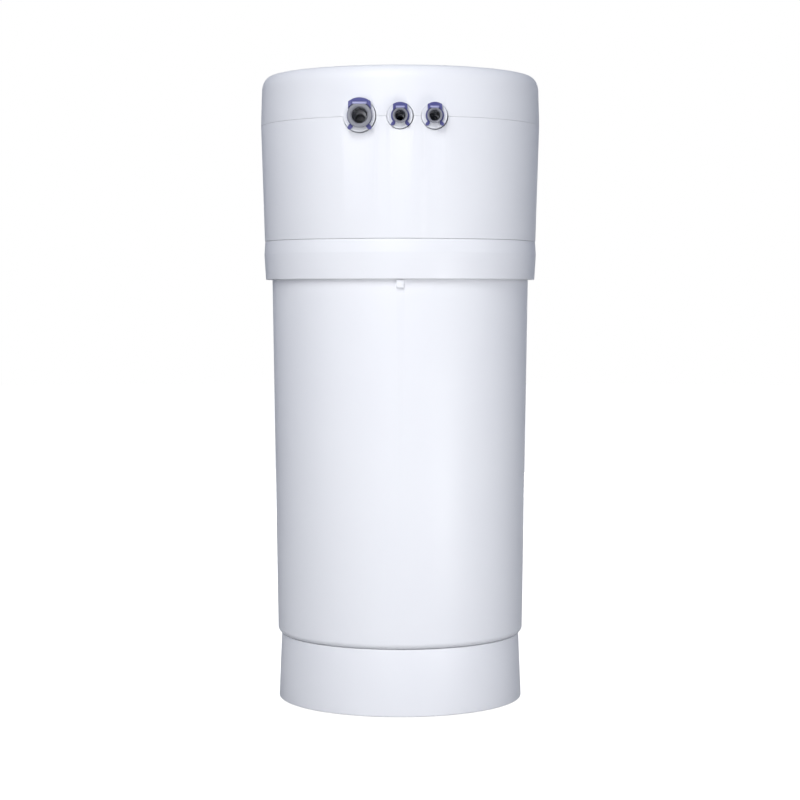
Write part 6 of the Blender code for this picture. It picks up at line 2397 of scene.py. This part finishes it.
@dataclass
class Studio:
    """The pale floor, the soft lights and the photograph's camera."""

    lens: float = 94.27
    camera_spot: Spot = (-0.0001, -1.3975, 0.26744)
    camera_tilt: float = 87.168
    floor_radius: float = 5.0
    aim: Spot = (0.0, 0.0, 0.22)

    def build(self) -> None:
        """Set the studio up."""
        self.floor()
        self.camera()
        self.world()
        self.light("high_softbox", (-0.33, -1.30, 1.15), 0.9, 12.5)
        self.light("left_softbox", (-1.35, -0.75, 0.75), 1.0, 2.8)
        self.light("right_softbox", (1.35, -0.75, 0.75), 1.0, 3.8)
        self.light("front_softbox", (-0.32, -1.70, 0.26), 0.5, 8.0, glossy=False)
        self.light("low_softbox", (0.38, -0.50, 0.09), 0.16, 0.6)
        self.light("top_softbox", (0.0, 0.15, 1.35), 0.8, 2.2, glossy=False)
        self.light("back_softbox", (0.35, 1.70, 0.40), 0.9, 25.0, glossy=False)
        bpy.context.scene.view_settings.view_transform = "Standard"

    def floor(self) -> None:
        """Lay the floor, a wide disc whose rim is far outside the view."""
        floor = turn("studio_floor", rod(self.floor_radius, -0.02, 0.0), 64)
        sheet, shader = started("pale_floor")
        place = sheet.add("TexCoord").outputs["Object"]
        noise = sheet.add("TexNoise", {"Vector": place, "Scale": 3.0})
        tone = sheet.add(
            "Mix",
            {0: noise.outputs["Fac"], 6: (0.36, 0.36, 0.36, 1.0), 7: (0.40, 0.40, 0.40, 1.0)},
            data_type="RGBA",
        )
        sheet.feed(shader, "Base Color", tone.outputs[2])
        sheet.feed(shader, "Roughness", 0.9)
        sheet.feed(shader, "Specular IOR Level", 0.1)
        seen = sheet.add("LightPath").outputs["Is Camera Ray"]
        glow = sheet.add("MapRange", {"Value": seen, 3: 0.0, 4: 1.0})
        sheet.feed(shader, "Emission Color", (1.0, 1.0, 1.0, 1.0))
        sheet.feed(shader, "Emission Strength", glow.outputs[0])
        floor.data.materials.append(bpy.data.materials["pale_floor"])

    def camera(self) -> None:
        """Stand the camera at the photograph's viewpoint."""
        data = bpy.data.cameras.new("photo_camera")
        data.lens = self.lens
        data.sensor_width = 36.0
        data.clip_start = 0.05
        camera = bpy.data.objects.new("photo_camera", data)
        bpy.context.scene.collection.objects.link(camera)
        camera.location = self.camera_spot
        camera.rotation_euler = (math.radians(self.camera_tilt), 0.0, 0.0)
        bpy.context.scene.camera = camera

    def world(self) -> None:
        """Light the surroundings, white where the camera sees them."""
        world = bpy.data.worlds.new("soft_studio")
        bpy.context.scene.world = world
        world.use_nodes = True
        world.node_tree.nodes.clear()
        sheet = Sheet(world.node_tree)
        seen = sheet.add("LightPath").outputs["Is Camera Ray"]
        tint = sheet.add(
            "Mix",
            {0: seen, 6: (0.10, 0.125, 0.19, 1.0), 7: (1.0, 1.0, 1.0, 1.0)},
            data_type="RGBA",
        )
        glow = sheet.add("Background", {"Color": tint.outputs[2], "Strength": 1.0})
        sheet.add("OutputWorld", {"Surface": glow.outputs[0]})

    def light(self, name: str, spot: Spot, size: float, power: float, glossy: bool = True) -> None:
        """Hang a soft square light aimed at the filter.

        Args:
            name: Its name.
            spot: Its place.
            size: The length of its side.
            power: Its power in watts.
            glossy: Whether the plastic mirrors it.
        """
        data = bpy.data.lights.new(name, "AREA")
        data.size = size
        data.energy = power
        lamp = bpy.data.objects.new(name, data)
        bpy.context.scene.collection.objects.link(lamp)
        lamp.location = spot
        lamp.visible_camera = False
        lamp.visible_glossy = glossy
        way = Vector(self.aim) - Vector(spot)
        lamp.rotation_euler = way.to_track_quat("-Z", "Y").to_euler()


# Carried-over nodes


class Carried:
    """The frame's own nodes that stay in sight, dressed by their slot."""

    def build(self) -> None:
        """Give every node of the frame the finish of its slot."""
        finishes = (
            WHITE_SHELL,
            WHITE_BLOCK,
            COLLET_GREY,
            CLIP_VIOLET,
            PLAIN_MOULDING,
            BLACK_RUBBER,
            SCREW_STEEL,
            BLACK_CARBON,
            FLEECE,
            CLEAR_QUARTZ,
            BOARD_GREEN,
            ALUMINIUM,
            TURBINE_BLUE,
            SOCKET_BLACK,
        )
        by_slot = {finish.slot: finish for finish in finishes}
        slots = {part["node"]: part["material_slot"] for part in frame["record"]["subparts"]}
        for name, node in frame["nodes"].items():
            node.data.materials.clear()
            node.data.materials.append(by_slot[slots[name]].material())


def main() -> None:
    """Dress the filter, piece by piece."""
    logging.basicConfig(level=logging.INFO, format="%(name)s %(message)s")
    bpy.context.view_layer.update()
    for assembly in (
        Carried(),
        BaseSkirt(),
        LowerShell(),
        LockCollar(),
        UpperHousing(),
        TopCover(),
        PortBlock(),
        *(PushFitPort(place) for place in PORTS),
        RubberFeet(),
        ScrewSet("base_screw", 4, "vessel", head_up=False),
        ScrewSet("head_screw", 4, "head", head_up=False),
        ScrewSet("port_block_screw", 3, "head", head_up=True),
        ScrewSet("heat_sink_screw", 3, "head", head_up=True),
        PressureVessel(),
        Cartridge(),
        HeadBlock(),
        LampStack(),
        FlowSensor(),
        ControlBoard(),
        PowerSocket(),
        Studio(),
    ):
        assembly.build()
        LOG.info("built %s", type(assembly).__name__)


if __name__ == "__main__":
    main()
